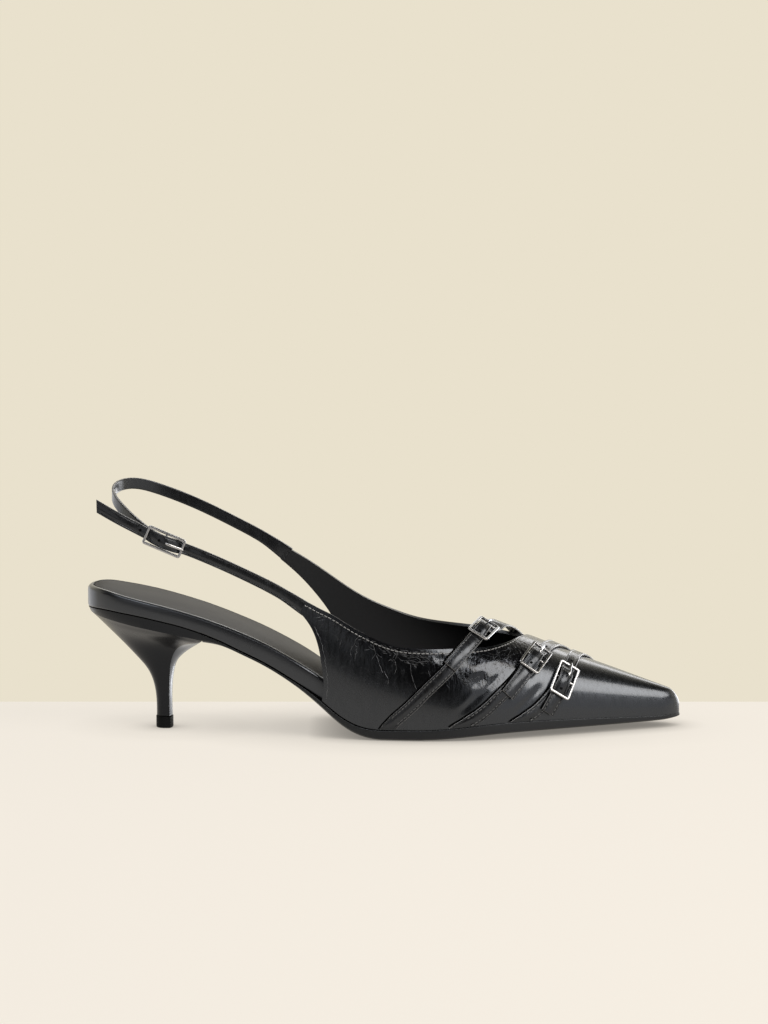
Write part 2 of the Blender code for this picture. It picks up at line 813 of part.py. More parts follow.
def ribbon(bends, steps):
    """A free strap along a route in space, its width held as upright as the route lets it."""
    knots = [Vector((b.x, b.y, b.z)) for b in bends]
    run = np.cumsum([0.0] + [(b - a).length for a, b in zip(knots, knots[1:])])
    axes = [Curve(run, [k[i] for k in knots]) for i in range(3)]
    width = Curve(run, [b.width for b in bends])
    points = []
    for i in range(steps + 1):
        s = run[-1] * i / steps
        at = Vector([axis(s) for axis in axes])
        ahead = Vector([axis(s + 0.5) - axis(s - 0.5) for axis in axes]).normalized()
        up = (Vector((0, 0, 1)) - ahead * ahead.z).normalized()
        face = ahead.cross(up) * (SLING_LEATHER / 2)
        rise = up * (width(s) / 2)
        points += [at - rise - face, at - face, at + rise - face]
        points += [at + rise + face, at + face, at - rise + face]
    return points, band_faces(steps + 1, 3)


def build_sling(parent):
    place("sling_strap", make_mesh("sling_strap", *ribbon(SLING_ROUTE, 48)), "crinkled_leather", parent)
    place("billet_strap", make_mesh("billet_strap", *ribbon(BILLET_ROUTE, 40)), "crinkled_leather", parent)
    along = Vector(SLING_BUCKLE_ALONG).normalized()
    normal = Vector((0.0, -1.0, 0.0))
    seat = (Vector(SLING_BUCKLE_AT), along, normal)
    build_buckle("sling_buckle", "sling_prong", SLING_BUCKLE, seat, parent)


# Buckles


def tube(path, radius, sides, closed):
    """A round wire along points that lie in one plane or nearly so."""
    points = []
    count = len(path)
    for k, at in enumerate(path):
        before = path[k - 1] if closed or k else path[k]
        after = path[(k + 1) % count] if closed or k < count - 1 else path[k]
        ahead = (after - before).normalized()
        side = ahead.cross(Vector((0, 0, 1))).normalized()
        up = side.cross(ahead)
        for j in range(sides):
            turn = 2 * math.pi * (j + 0.5) / sides
            points.append(at + side * (radius * math.cos(turn)) + up * (radius * math.sin(turn)))
    faces = []
    for k in range(count if closed else count - 1):
        n = (k + 1) % count
        for j in range(sides):
            m = (j + 1) % sides
            faces.append((k * sides + j, k * sides + m, n * sides + m, n * sides + j))
    if not closed:
        faces.append(tuple(range(sides)))
        faces.append(tuple((count - 1) * sides + j for j in range(sides)))
    return points, faces


def buckle_mesh(size):
    """Rectangular wire frame with rounded corners and a centre bar, lying flat with its length along X."""
    half_x = (size.length - BUCKLE_WIRE) / 2 - BUCKLE_CORNER
    half_y = (size.width - BUCKLE_WIRE) / 2 - BUCKLE_CORNER
    path = []
    for corner, (cx, cy) in enumerate([(half_x, half_y), (-half_x, half_y), (-half_x, -half_y), (half_x, -half_y)]):
        for step in range(4):
            turn = math.pi / 2 * (corner + step / 3)
            path.append(Vector((cx + BUCKLE_CORNER * math.cos(turn), cy + BUCKLE_CORNER * math.sin(turn), 0)))
    frame = bpy.data.objects.new("frame", make_mesh("frame", *tube(path, BUCKLE_WIRE / 2, 6, True)))
    reach = half_y + BUCKLE_CORNER
    bar_path = [Vector((0, -reach, 0)), Vector((0, reach, 0))]
    bar = bpy.data.objects.new("bar", make_mesh("bar", *tube(bar_path, BUCKLE_WIRE * 0.42, 6, False)))
    for thing in (frame, bar):
        bpy.context.scene.collection.objects.link(thing)
    join = frame.modifiers.new("join", "BOOLEAN")
    join.operation = "UNION"
    join.solver = "EXACT"
    join.object = bar
    graph = bpy.context.evaluated_depsgraph_get()
    mesh = bpy.data.meshes.new_from_object(frame.evaluated_get(graph))
    for thing in (frame, bar):
        bpy.data.objects.remove(thing)
    return mesh


def prong_mesh(size):
    """Prong rising from the strap beside the centre bar and resting on the far end bar."""
    half = (size.length - BUCKLE_WIRE) / 2
    over_strap = BUCKLE_WIRE / 2 + GAP + BUCKLE_PLAY + LEATHER + 2 * GAP + PRONG_WIRE / 2
    over_bar = BUCKLE_WIRE / 2 + GAP + PRONG_WIRE / 2
    path = [
        Vector((0.8, 0, over_strap)),
        Vector((2.6, 0, over_strap)),
        Vector((half - 1.6, 0, over_bar + 0.35)),
        Vector((half + 0.7, 0, over_bar)),
    ]
    return make_mesh("buckle_prong", *tube(path, PRONG_WIRE / 2, 6, False))


def build_buckle(frame_name, prong_name, size, seat, parent):
    at, along, normal = seat
    side = normal.cross(along)
    turn = Matrix((along, side, normal)).transposed().to_4x4()
    for name, mesh in ((frame_name, buckle_mesh(size)), (prong_name, prong_mesh(size))):
        piece = place(name, mesh, "polished_steel", parent)
        piece.matrix_local = Matrix.Translation(at * MM) @ turn


def centre_on_floor(parent):
    """Moves the shoe so that the middle of its box's floor side is the origin."""
    bpy.context.view_layer.update()
    graph = bpy.context.evaluated_depsgraph_get()
    corners = []
    for piece in parent.children:
        seen = piece.evaluated_get(graph)
        mesh = seen.to_mesh()
        corners += [seen.matrix_world @ v.co for v in mesh.vertices]
        seen.to_mesh_clear()
    low = Vector([min(c[i] for c in corners) for i in range(3)])
    high = Vector([max(c[i] for c in corners) for i in range(3)])
    parent.location = (-(low.x + high.x) / 2, -(low.y + high.y) / 2, -low.z)


def main():
    for thing in list(bpy.data.objects):
        bpy.data.objects.remove(thing)
    shoe = bpy.data.objects.new("shoe", None)
    bpy.context.scene.collection.objects.link(shoe)
    build_outsole(shoe)
    build_insole(shoe)
    build_insock(shoe)
    build_heel(shoe)
    build_top_piece(shoe)
    build_upper(shoe)
    build_vamp_straps(shoe)
    build_sling(shoe)
    centre_on_floor(shoe)


main()
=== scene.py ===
"""Dressed kitten heel slingback shoe, laid out as a Blender add-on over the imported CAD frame.

Tables are in millimetres: X runs from the back of the heel to the toe, Y from the outer
side of the foot (negative) to the inner side, and Z up from the floor. Angles on the last
run from 0 at the outer feather line over 90 at the ridge to 180 at the inner feather line.
"""

import math
from collections import namedtuple

import bmesh
import bpy
import numpy as np
from mathutils import Matrix, Vector


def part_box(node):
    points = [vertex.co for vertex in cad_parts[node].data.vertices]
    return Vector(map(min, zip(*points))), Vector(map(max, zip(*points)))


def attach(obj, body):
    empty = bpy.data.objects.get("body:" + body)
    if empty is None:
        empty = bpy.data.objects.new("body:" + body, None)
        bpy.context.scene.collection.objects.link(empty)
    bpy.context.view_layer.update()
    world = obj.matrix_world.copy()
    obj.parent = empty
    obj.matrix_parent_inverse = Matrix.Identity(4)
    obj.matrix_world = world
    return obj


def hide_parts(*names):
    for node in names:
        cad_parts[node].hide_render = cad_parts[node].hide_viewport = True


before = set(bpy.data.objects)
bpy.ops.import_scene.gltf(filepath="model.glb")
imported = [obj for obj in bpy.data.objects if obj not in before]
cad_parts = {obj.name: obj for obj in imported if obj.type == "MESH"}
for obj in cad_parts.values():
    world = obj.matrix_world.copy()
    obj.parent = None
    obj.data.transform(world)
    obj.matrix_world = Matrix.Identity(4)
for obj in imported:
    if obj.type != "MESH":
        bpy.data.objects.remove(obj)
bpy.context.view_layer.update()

bl_info = {
    "name": "Kitten heel shoe",
    "version": (1, 0, 0),
    "blender": (4, 5, 0),
    "location": "View3D > Sidebar > Shoe",
    "description": "Builds the dressed shoe and its stage over the packed frame",
    "category": "Object",
}

MM = 0.001
GAP = 0.3
LENGTH = 262.4
TOE_Y = 4.5
TOE_Z = 9.3
TOE_ROUND = 8.0
TOE_TOP_ROUND = 5.0
SEAT_ROUND = 33.0
SEAT_POWER = 2.2
SEAT_FRONT = 51.4
BREAST_GAP = 0.05
SOLE_BEVEL = 3.4
SOLE_BEVEL_RISE = 1.1
SOLE_TOP_BEVEL = 0.4
TREAD_BACK = 128.0
TREAD_FRONT = 148.0
INSOLE_GAP = 0.5
SOCK_GAP = 0.4
RIM_ROUND = 1.8
RIM_FLAT = 0.2
SOCK_THICK = 0.8
THROAT_X = 199.0
WING_FADE_X = 152.0
WING_STATIONS = 170
TOE_STATIONS = 70
WALL_ROWS = 80
STRAP_WIDTH = 5.6
LEATHER = 1.0
SLING_LEATHER = 1.2
BUCKLE_WIRE = 1.2
BUCKLE_CORNER = 0.65
PRONG_WIRE = 1.0
BUCKLE_PLAY = 0.25
FEATHER = 0.05


def table(kind, *rows):
    """Rows of one kind, with named columns."""
    return [kind(*row) for row in rows]


Buckle = namedtuple("Buckle", "length width")
VAMP_BUCKLE = Buckle(17.6, 10.2)
SLING_BUCKLE = Buckle(17.9, 8.8)
TIP_HEIGHT = 5.2
TIP_LIP = 0.25
Sole = namedtuple("Sole", "x low thick insole_top")
SOLE = table(
    Sole,
    (51.4, 41.4, 3.7, 52.5), (60.0, 39.7, 1.8, 49.4), (68.0, 36.2, 1.4, 46.2), (76.7, 32.0, 1.4, 42.4),
    (85.5, 26.9, 1.6, 37.9), (94.3, 20.9, 2.1, 32.9), (103.0, 13.8, 2.9, 27.3), (111.8, 6.3, 3.5, 20.6),
    (120.5, 1.6, 4.0, 15.0), (129.0, 0.0, 4.4, 11.8), (140.0, 0.0, 4.6, 9.8), (152.0, 0.2, 4.6, 9.0),
    (165.0, 1.0, 4.7, 9.4), (182.0, 2.1, 4.9, 10.4), (200.0, 2.5, 4.7, 10.8), (226.0, 2.7, 3.8, 10.2),
    (245.0, 2.9, 2.9, 9.4), (255.0, 3.1, 2.5, 9.0), (LENGTH, 3.6, 2.2, 9.0),
)
Seat = namedtuple("Seat", "x join insole_top")
SEAT = table(
    Seat,
    (0.0, 54.6, 64.0), (6.0, 55.0, 64.0), (15.0, 54.2, 62.2), (24.0, 52.8, 60.1), (33.0, 50.8, 57.9),
    (42.0, 48.5, 55.4), (SEAT_FRONT, 45.3, 52.5),
)
Section = namedtuple("Section", "x outer inner ridge_y ridge_z square")
SECTIONS = table(
    Section,
    (0, 25.5, 25.5, 0.0, 130.0, 2.6), (40, 26.5, 26.0, 0.0, 130.0, 2.6), (60, 26.5, 25.0, 0.0, 130.0, 2.6),
    (80, 27.5, 24.6, 0.0, 122.0, 2.6), (100, 30.3, 26.0, 0.5, 108.0, 2.6), (120, 34.3, 29.0, 1.0, 88.0, 2.6),
    (140, 37.3, 33.4, 2.0, 69.0, 2.6), (155, 37.9, 36.0, 2.5, 58.0, 2.5), (170, 36.2, 37.0, 3.2, 50.0, 2.4),
    (185, 32.2, 35.3, 4.0, 43.8, 2.4), (200, 26.5, 31.3, 4.6, 38.4, 2.4), (215, 20.2, 26.2, 5.0, 32.2, 2.4),
    (230, 13.8, 20.8, 5.0, 26.8, 2.4), (245, 7.4, 15.2, 4.8, 21.4, 2.4), (255, 3.0, 11.5, 4.6, 17.8, 2.4),
    (LENGTH, 0.0, 9.0, TOE_Y, 15.0, 2.4),
)
Margin = namedtuple("Margin", "x sole insole sock")
MARGINS = table(
    Margin,
    (0, 0.6, 0.0, 2.8), (60, 0.6, 0.0, 2.8), (85, 0.5, 0.0, 2.8), (96, 0.2, 0.5, 3.2), (103, -0.2, 2.2, 4.6),
    (112, -0.6, 2.4, 4.4), (200, -0.7, 2.4, 3.6), (245, -0.5, 2.6, 3.6), (LENGTH, -0.2, 3.0, 4.4),
)
Topline = namedtuple("Topline", "x angle")
OUTER_TOPLINE = table(
    Topline,
    (97.0, 19.8), (103.0, 21.0), (108.0, 22.5), (116.0, 24.0), (125.0, 25.0), (133.0, 25.8), (138.0, 27.0),
    (147.0, 31.2), (155.5, 36.1), (164.0, 41.6), (174.0, 48.2), (182.0, 57.2), (186.5, 65.4), (189.6, 74.0),
    (192.6, 85.0), (195.6, 96.0), (198.0, 104.6), (THROAT_X, 109.0),
)
INNER_TOPLINE = table(
    Topline,
    (87.9, 152.2), (93.4, 151.8), (102.3, 150.9), (111.3, 149.5), (120.2, 148.3), (129.2, 147.0),
    (138.2, 145.3), (147.2, 142.4), (156.2, 137.6), (165.0, 132.0), (173.0, 126.6), (184.3, 119.6),
    (190.0, 115.6), (194.5, 112.8), (197.6, 110.8), (THROAT_X, 109.0),
)
TOE_SEAM = table(
    Topline,
    (THROAT_X, 109.0), (210.0, 100.0), (222.0, 93.0), (235.0, 90.0), (LENGTH, 90.0),
)
Edge = namedtuple("Edge", "x z")
OUTER_WING = table(
    Edge,
    (103.9, 17.0), (104.6, 23.5), (104.0, 30.2), (103.0, 36.8), (101.3, 43.5), (98.7, 49.2), (94.3, 54.9),
    (97.0, 59.7),
)
INNER_WING = table(
    Edge,
    (110.8, 10.6), (112.0, 20.0), (112.0, 29.0), (110.6, 38.0), (107.4, 46.6), (102.4, 54.2), (97.6, 60.2),
    (92.0, 66.2), (84.5, 72.9), (87.9, 77.9),
)
Ring = namedtuple("Ring", "back_x back_z front_x front_z half bulge")
HEEL = table(
    Ring,
    (1.1, 52.8, SEAT_FRONT, 42.4, 25.7, 0.0), (3.0, 51.0, 50.4, 41.4, 23.6, 0.8),
    (5.6, 48.4, 47.6, 40.4, 20.6, 3.4), (9.8, 44.1, 43.6, 39.2, 15.6, 7.2),
    (14.0, 39.8, 40.7, 37.5, 11.8, 8.4), (18.3, 35.3, 38.6, 35.0, 9.3, 6.4),
    (22.6, 30.6, 37.0, 30.9, 7.3, 3.2), (26.0, 26.4, 36.3, 26.2, 6.0, 1.9),
    (28.4, 21.4, 36.0, 21.0, 5.2, 1.4), (29.7, 15.6, 35.9, 15.2, 4.7, 1.2), (30.1, 10.0, 35.9, 9.8, 4.5, 1.2),
    (30.1, TIP_HEIGHT + GAP, 36.0, TIP_HEIGHT + GAP, 4.5, 1.2),
)
Fold = namedtuple("Fold", "x angle")
VampStrap = namedtuple("VampStrap", "band strap buckle_at")
VAMP_STRAPS = [
    VampStrap(
        [Fold(134, 0.6), Fold(142, 5), Fold(150, 13), Fold(158.7, 25), Fold(169.5, 50), Fold(175.2, 70)],
        [
            Fold(159.5, 27), Fold(169.5, 50), Fold(175.2, 70), Fold(179.3, 84),
            Fold(184.5, 100), Fold(190, 120), Fold(197, 145), Fold(205, 179.4),
        ],
        27.4,
    ),
    VampStrap(
        [Fold(166, 0.6), Fold(174, 5), Fold(181, 13), Fold(188.6, 26), Fold(197.6, 53)],
        [
            Fold(184.5, 15), Fold(190, 27), Fold(197.6, 53), Fold(201.5, 68),
            Fold(206, 90), Fold(212, 115), Fold(218, 145), Fold(224, 179.4),
        ],
        22.6,
    ),
    VampStrap(
        [Fold(192, 0.6), Fold(197.5, 5), Fold(203, 14), Fold(206.8, 24), Fold(210, 38)],
        [
            Fold(201.8, 4), Fold(206.4, 18), Fold(210, 38), Fold(213, 57),
            Fold(216.5, 90), Fold(221, 115), Fold(226, 145), Fold(231, 179.4),
        ],
        16.4,
    ),
]
Bend = namedtuple("Bend", "x y z width")
SLING_ROUTE = table(
    Bend,
    (88.2, 22.2, 74.1, 6.0), (76.0, 22.0, 82.5, 5.2), (66.5, 21.9, 87.7, 5.0), (48.7, 21.4, 96.6, 5.0),
    (31.2, 18.0, 104.0, 5.0), (20.4, 12.4, 107.3, 5.0), (13.8, 5.4, 107.0, 5.0), (11.6, -2.0, 104.9, 5.0),
    (13.2, -9.4, 101.8, 5.0), (18.4, -17.4, 97.2, 5.0), (23.6, -22.9, 93.2, 5.0), (28.4, -25.7, 89.9, 5.0),
    (33.2, -27.6, 87.4, 5.0),
)
BILLET_ROUTE = table(
    Bend,
    (97.0, -28.1, 56.6, 5.4), (85.6, -26.9, 63.9, 5.2), (76.9, -26.5, 68.5, 5.1), (68.2, -26.4, 72.7, 5.0),
    (59.4, -26.6, 76.8, 5.0), (50.7, -27.0, 80.6, 5.0), (42.9, -27.2, 83.6, 5.0), (35.2, -30.8, 86.6, 5.0),
    (27.6, -27.2, 90.0, 5.0), (17.0, -27.3, 95.6, 5.0), (5.8, -27.0, 102.0, 5.0),
)
SLING_BUCKLE_AT = (35.2, -29.0, 86.6)
SLING_BUCKLE_ALONG = (0.919, 0.0, -0.394)


class Curve:
    """Smooth curve through the rows of a table, as a natural cubic spline."""

    def __init__(self, at, values):
        self.at = np.array(at, float)
        self.values = np.array(values, float)
        count = len(self.at)
        step = np.diff(self.at)
        rise = np.diff(self.values) / step
        matrix = np.eye(count)
        target = np.zeros(count)
        for i in range(1, count - 1):
            matrix[i, i - 1 : i + 2] = step[i - 1], 2 * (step[i - 1] + step[i]), step[i]
            target[i] = 6 * (rise[i] - rise[i - 1])
        self.bend = np.linalg.solve(matrix, target)

    def __call__(self, x):
        x = min(max(x, self.at[0]), self.at[-1])
        i = min(max(int(np.searchsorted(self.at, x, side="right")) - 1, 0), len(self.at) - 2)
        step = self.at[i + 1] - self.at[i]
        a = (self.at[i + 1] - x) / step
        b = 1 - a
        curl = ((a**3 - a) * self.bend[i] + (b**3 - b) * self.bend[i + 1]) * step * step / 6
        return float(a * self.values[i] + b * self.values[i + 1] + curl)


def column(rows, name, key="x"):
    return Curve([getattr(row, key) for row in rows], [getattr(row, name) for row in rows])


def eased(x, rows):
    """Value at x between (at, value) rows, level at each row and smooth between them."""
    for (x0, v0), (x1, v1) in zip(rows, rows[1:]):
        if x <= x1:
            k = min(max((x - x0) / (x1 - x0), 0.0), 1.0)
            return v0 + (v1 - v0) * k * k * (3 - 2 * k)
    return rows[-1][1]


sole_low = column(SOLE, "low")
sole_thick = column(SOLE, "thick")
fore_insole_top = column(SOLE, "insole_top")
seat_join = column(SEAT, "join")
seat_insole_top = column(SEAT, "insole_top")
outer_reach = column(SECTIONS, "outer")
inner_reach = column(SECTIONS, "inner")
ridge_side = column(SECTIONS, "ridge_y")
ridge_height = column(SECTIONS, "ridge_z")
squareness = column(SECTIONS, "square")
sole_margin = column(MARGINS, "sole")
insole_margin = column(MARGINS, "insole")
sock_margin = column(MARGINS, "sock")


def toe_taper(x, length=TOE_ROUND):
    """1 along the shoe, falling round to 0 at the toe's tip."""
    k = min(max((x - (LENGTH - length)) / length, 0.0), 1.0)
    return math.sqrt(1 - k * k)


def seat_taper(x):
    """1 along the shoe, falling round to 0 at the back of the heel."""
    k = min(max((SEAT_ROUND - x) / SEAT_ROUND, 0.0), 1.0)
    return (1 - k**SEAT_POWER) ** (1 / SEAT_POWER)


def plan(x, side):
    """Y of the feather line at x, on the outer side (-1) or the inner side (1)."""
    reach = inner_reach(x) if side > 0 else -outer_reach(x)
    return TOE_Y + (reach * seat_taper(x) - TOE_Y) * toe_taper(x)


def sole_bottom(x):
    """Height of the sole's underside, flat on the floor along the tread."""
    return 0.0 if TREAD_BACK <= x <= TREAD_FRONT else max(0.0, sole_low(x))


def sole_top(x):
    return sole_bottom(x) + sole_thick(x)


def feather(x):
    """Height of the upper's lower edge, just above the sole."""
    return sole_top(x) + GAP


def ridge(x):
    side = TOE_Y + (ridge_side(x) - TOE_Y) * toe_taper(x)
    height = TOE_Z + (ridge_height(x) - TOE_Z) * toe_taper(x, TOE_TOP_ROUND)
    return side, height


def last_point(x, angle):
    turn = math.radians(angle)
    power = 2 / squareness(x)
    side, height = ridge(x)
    reach = plan(x, -1 if angle <= 90 else 1) - side
    base = feather(x)
    return Vector((
        x,
        side + reach * abs(math.cos(turn)) ** power,
        base + (height - base) * abs(math.sin(turn)) ** power,
    ))


def last_slopes(x, angle):
    """How the surface point moves per millimetre of x and per degree of angle."""
    step = 0.2
    turn = min(max(angle, 2 * step), 180 - 2 * step)
    along = (last_point(x + step, turn) - last_point(x - step, turn)) / (2 * step)
    around = (last_point(x, turn + step) - last_point(x, turn - step)) / (2 * step)
    return along, around


def last_normal(x, angle):
    along, around = last_slopes(x, angle)
    return around.cross(along).normalized() * -1


def angle_at(x, z):
    """Angle from the nearer feather line at which the last reaches height z."""
    base = feather(x)
    share = min(max((z - base) / (ridge(x)[1] - base), 0.0), 1.0)
    return math.degrees(math.asin(share ** (squareness(x) / 2)))


def outline_ring(stations, margin, height, round_back):
    """Loop round the plan outline: the outer side from back to toe, then the inner side back."""
    inner_first = 1 if round_back else 0
    flat = [Vector((x, plan(x, -1))) for x in stations]
    flat += [Vector((x, plan(x, 1))) for x in reversed(stations[inner_first:-1])]
    loop = []
    for k, point in enumerate(flat):
        ahead = flat[(k + 1) % len(flat)] - flat[k - 1]
        inward = Vector((-ahead.y, ahead.x)).normalized()
        if not round_back and k in (0, len(flat) - 1):
            inward = Vector((0.0, 1.0 if k == 0 else -1.0))
        moved = point + inward * margin(point.x)
        loop.append((moved.x, moved.y, height(moved.x)))
    return loop


def outline_cap(count, round_back):
    """Faces across an outline loop, from each outer point to the inner point beside it."""
    total = 2 * count - (2 if round_back else 1)
    mate = {k: (total - k) % total if round_back else total - 1 - k for k in range(count)}
    faces = []
    for k in range(count - 1):
        corners = [k, k + 1, mate[k + 1], mate[k]]
        faces.append(tuple(dict.fromkeys(corners)))
    return faces


def both_ends_round(first, last, count):
    return [first + (last - first) * (1 - math.cos(math.pi * k / count)) / 2 for k in range(count + 1)]


def far_end_round(first, last, count):
    return [first + (last - first) * math.sin(math.pi / 2 * k / count) for k in range(count + 1)]


def insole_top(x):
    return seat_insole_top(x) if x < SEAT_FRONT else fore_insole_top(x)


def insole_underside(x):
    return seat_join(x) + GAP / 2 if x < SEAT_FRONT else sole_top(x) + INSOLE_GAP


def sock_recess(x):
    return sock_margin(x) - SOCK_GAP


def sock_bed(x):
    """Height of the recess in the insole that the sock lies in, flush with the rim."""
    return insole_top(x) - SOCK_GAP - SOCK_THICK


def rim_round(x):
    return min(RIM_ROUND, sock_recess(x) - insole_margin(x) - RIM_FLAT)


def heel_ring(row, height, grow=0.0, side_steps=10, front_steps=6):
    """Loop of one heel section: outer side from back to breast, across the breast, and back."""
    span = row.front_x - row.back_x
    sides = {-1: [], 1: []}
    for side in sides:
        for k in range(side_steps + 1):
            share = 1 - math.cos(math.pi / 2 * k / side_steps)
            x = row.back_x - grow + (span + 2 * grow) * share
            y = plan(share * SEAT_FRONT, side) * (row.half + grow) / outer_reach(SEAT_FRONT)
            sides[side].append((x, y, height(x, share)))
    outer_corner, inner_corner = sides[-1][-1], sides[1][-1]
    breast = []
    for k in range(1, front_steps):
        share = k / front_steps
        x = outer_corner[0] + row.bulge * (1 - (2 * share - 1) ** 2)
        y = outer_corner[1] * (1 - share) + inner_corner[1] * share
        breast.append((x, y, height(x, 1.0)))
    return sides[-1] + breast + sides[1][:0:-1]


def heel_cap(side_steps=10, front_steps=6):
    total = 2 * side_steps + front_steps
    faces = []
    for k in range(side_steps - 1):
        faces.append(tuple(dict.fromkeys([k, k + 1, total - k - 1, (total - k) % total])))
    last = side_steps - 1
    faces.append(tuple(range(last, total - last + 1)))
    return faces


def wing_edge(wing, side):
    """Station along a wing's back edge: x and share of the topline's angle against share of height."""
    angles = [angle_at(row.x, row.z) for row in wing]
    points = [last_point(row.x, a if side < 0 else 180 - a) for row, a in zip(wing, angles)]
    run = np.cumsum([0.0] + [(b - a).length for a, b in zip(points, points[1:])])
    run = run / run[-1]

    def edge(values):
        """Smooth up to the wing's corner, then straight across its end."""
        smooth = Curve(run[:-1], values[:-1])
        return lambda share: smooth(share) if share <= run[-2] else float(np.interp(share, run[-2:], values[-2:]))

    return edge([row.x for row in wing]), edge([a / angles[-1] for a in angles])


def upper_stations(first_x):
    """Feather line x of each station, with the throat as one of them, and how far the wing's edge shows in it."""
    back = far_end_round(first_x, THROAT_X, WING_STATIONS)
    front = far_end_round(THROAT_X, LENGTH, TOE_STATIONS)[1:]
    stations = []
    for x in back + front:
        fade = min(max((WING_FADE_X - x) / (WING_FADE_X - first_x), 0.0), 1.0)
        stations.append((x, fade**1.5))
    return stations


def upper_half(side):
    """Grid of (x, angle) over one half of the upper, a row of points for each station."""
    wing = OUTER_WING if side < 0 else INNER_WING
    topline = column(OUTER_TOPLINE if side < 0 else INNER_TOPLINE, "angle")
    seam = column(TOE_SEAM, "angle")
    edge_x, edge_share = wing_edge(wing, side)
    grid = []
    for foot_x, fade in upper_stations(wing[0].x):
        top_x = foot_x + (edge_x(1.0) - wing[0].x) * fade
        top = topline(top_x) if foot_x < THROAT_X else seam(foot_x)
        row = []
        for k in range(WALL_ROWS + 1):
            share = k / WALL_ROWS
            x = foot_x + (edge_x(share) - wing[0].x) * fade
            climb = edge_share(share) * fade + share * (1 - fade)
            row.append((x, top * climb if side < 0 else 180 - (180 - top) * climb))
        grid.append(row)
    return grid


class Route:
    """Smooth route over the last through (x, angle) folds, measured in millimetres along it."""

    def __init__(self, folds):
        points = [last_point(f.x, f.angle) for f in folds]
        self.at = np.cumsum([0.0] + [(b - a).length for a, b in zip(points, points[1:])])
        self.x = Curve(self.at, [f.x for f in folds])
        self.angle = Curve(self.at, [f.angle for f in folds])
        self.length = float(self.at[-1])

    def point(self, s, lift=0.0):
        x, angle = self.x(s), self.angle(s)
        return last_point(x, angle) + last_normal(x, angle) * lift

    def nearest(self, point):
        """Distance along the route at which it passes nearest to a point."""
        steps = np.linspace(0.0, self.length, 400)
        return float(min(steps, key=lambda s: (self.point(s) - point).length))

    def across(self, s, reach):
        """(x, angle) to the side of the route, which runs on straight past its ends down to the feather lines."""
        inside = min(max(s, 0.0), self.length)
        x, angle = self.x(inside), self.angle(inside)
        ahead = (self.point(inside + 0.5) - self.point(inside - 0.5)).normalized()
        sideways = last_normal(x, angle).cross(ahead) * reach
        along, around = last_slopes(x, angle)
        turn, climb = ((way - along * way.x).dot(around) / around.length_squared for way in (sideways, ahead))
        run = s - inside
        free = angle + turn + climb * run
        kept = min(max(free, FEATHER), 180 - FEATHER)
        return x + sideways.x + ahead.x * (run + (kept - free) / climb), kept


def buckle_seat(route, middle):
    """Middle, length direction and face normal of a flat buckle lying over its strap."""
    half = (VAMP_BUCKLE.length - BUCKLE_WIRE) / 2
    high_lift = 2 * GAP + LEATHER + BUCKLE_WIRE / 2 + BUCKLE_PLAY
    low_lift = high_lift + GAP + LEATHER
    surface = route.point(middle)
    normal = last_normal(route.x(middle), route.angle(middle))
    low = route.point(middle - half, low_lift)
    high = route.point(middle + half, high_lift)
    clearance = ((low + high) / 2 - surface).dot(normal)
    raise_by = max(0.0, GAP + BUCKLE_WIRE / 2 + LEATHER - clearance)
    along = (high - low).normalized()
    normal = (normal - along * normal.dot(along)).normalized()
    return (low + high) / 2 + normal * raise_by, along, normal, clearance + raise_by


# Where the shoe's tables lie in the row frame

_insole_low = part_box("insole")[0]
_buckle_low, _buckle_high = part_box("sling_buckle")
OFFSET = Vector((_insole_low.x, (_buckle_low.y + _buckle_high.y) / 2 - SLING_BUCKLE_AT[1] * MM, 0.0))


def to_row(point):
    return Vector(point) * MM + OFFSET


# Nodes and materials


def feed(tree, node, inputs):
    """Links each named input to a socket or sets it to a value."""
    for name, value in inputs.items():
        if isinstance(value, bpy.types.NodeSocket):
            tree.links.new(value, node.inputs[name])
        else:
            node.inputs[name].default_value = value


def add_node(tree, kind, inputs=None, **settings):
    node = tree.nodes.new(kind)
    for name, value in settings.items():
        setattr(node, name, value)
    feed(tree, node, inputs or {})
    return node


def maths(tree, operation, *values):
    """Result of a maths node on sockets and numbers."""
    return add_node(tree, "ShaderNodeMath", dict(enumerate(values)), operation=operation).outputs["Value"]


def ranged(tree, value, low, high, first=0.0, last=1.0):
    """A value carried from the range low to high over to the range first to last."""
    ends = {"Value": value, "From Min": low, "From Max": high, "To Min": first, "To Max": last}
    return add_node(tree, "ShaderNodeMapRange", ends).outputs["Result"]


def mixed(tree, share, first, last):
    """Colour between two colours."""
    ends = {"Factor": share, "A": (*first, 1), "B": (*last, 1)}
    return add_node(tree, "ShaderNodeMix", ends, data_type="RGBA").outputs["Result"]


def node_group(name, kind, inputs, outputs):
    """A node group with inputs (name, type, default) and outputs (name, type), its source sockets and its sink."""
    group = bpy.data.node_groups.new(name, kind)
    for title, sort, default in inputs:
        socket = group.interface.new_socket(title, in_out="INPUT", socket_type="NodeSocket" + sort)
        if default is not None:
            socket.default_value = default
    for title, sort in outputs:
        group.interface.new_socket(title, in_out="OUTPUT", socket_type="NodeSocket" + sort)
    return group, group.nodes.new("NodeGroupInput").outputs, group.nodes.new("NodeGroupOutput")


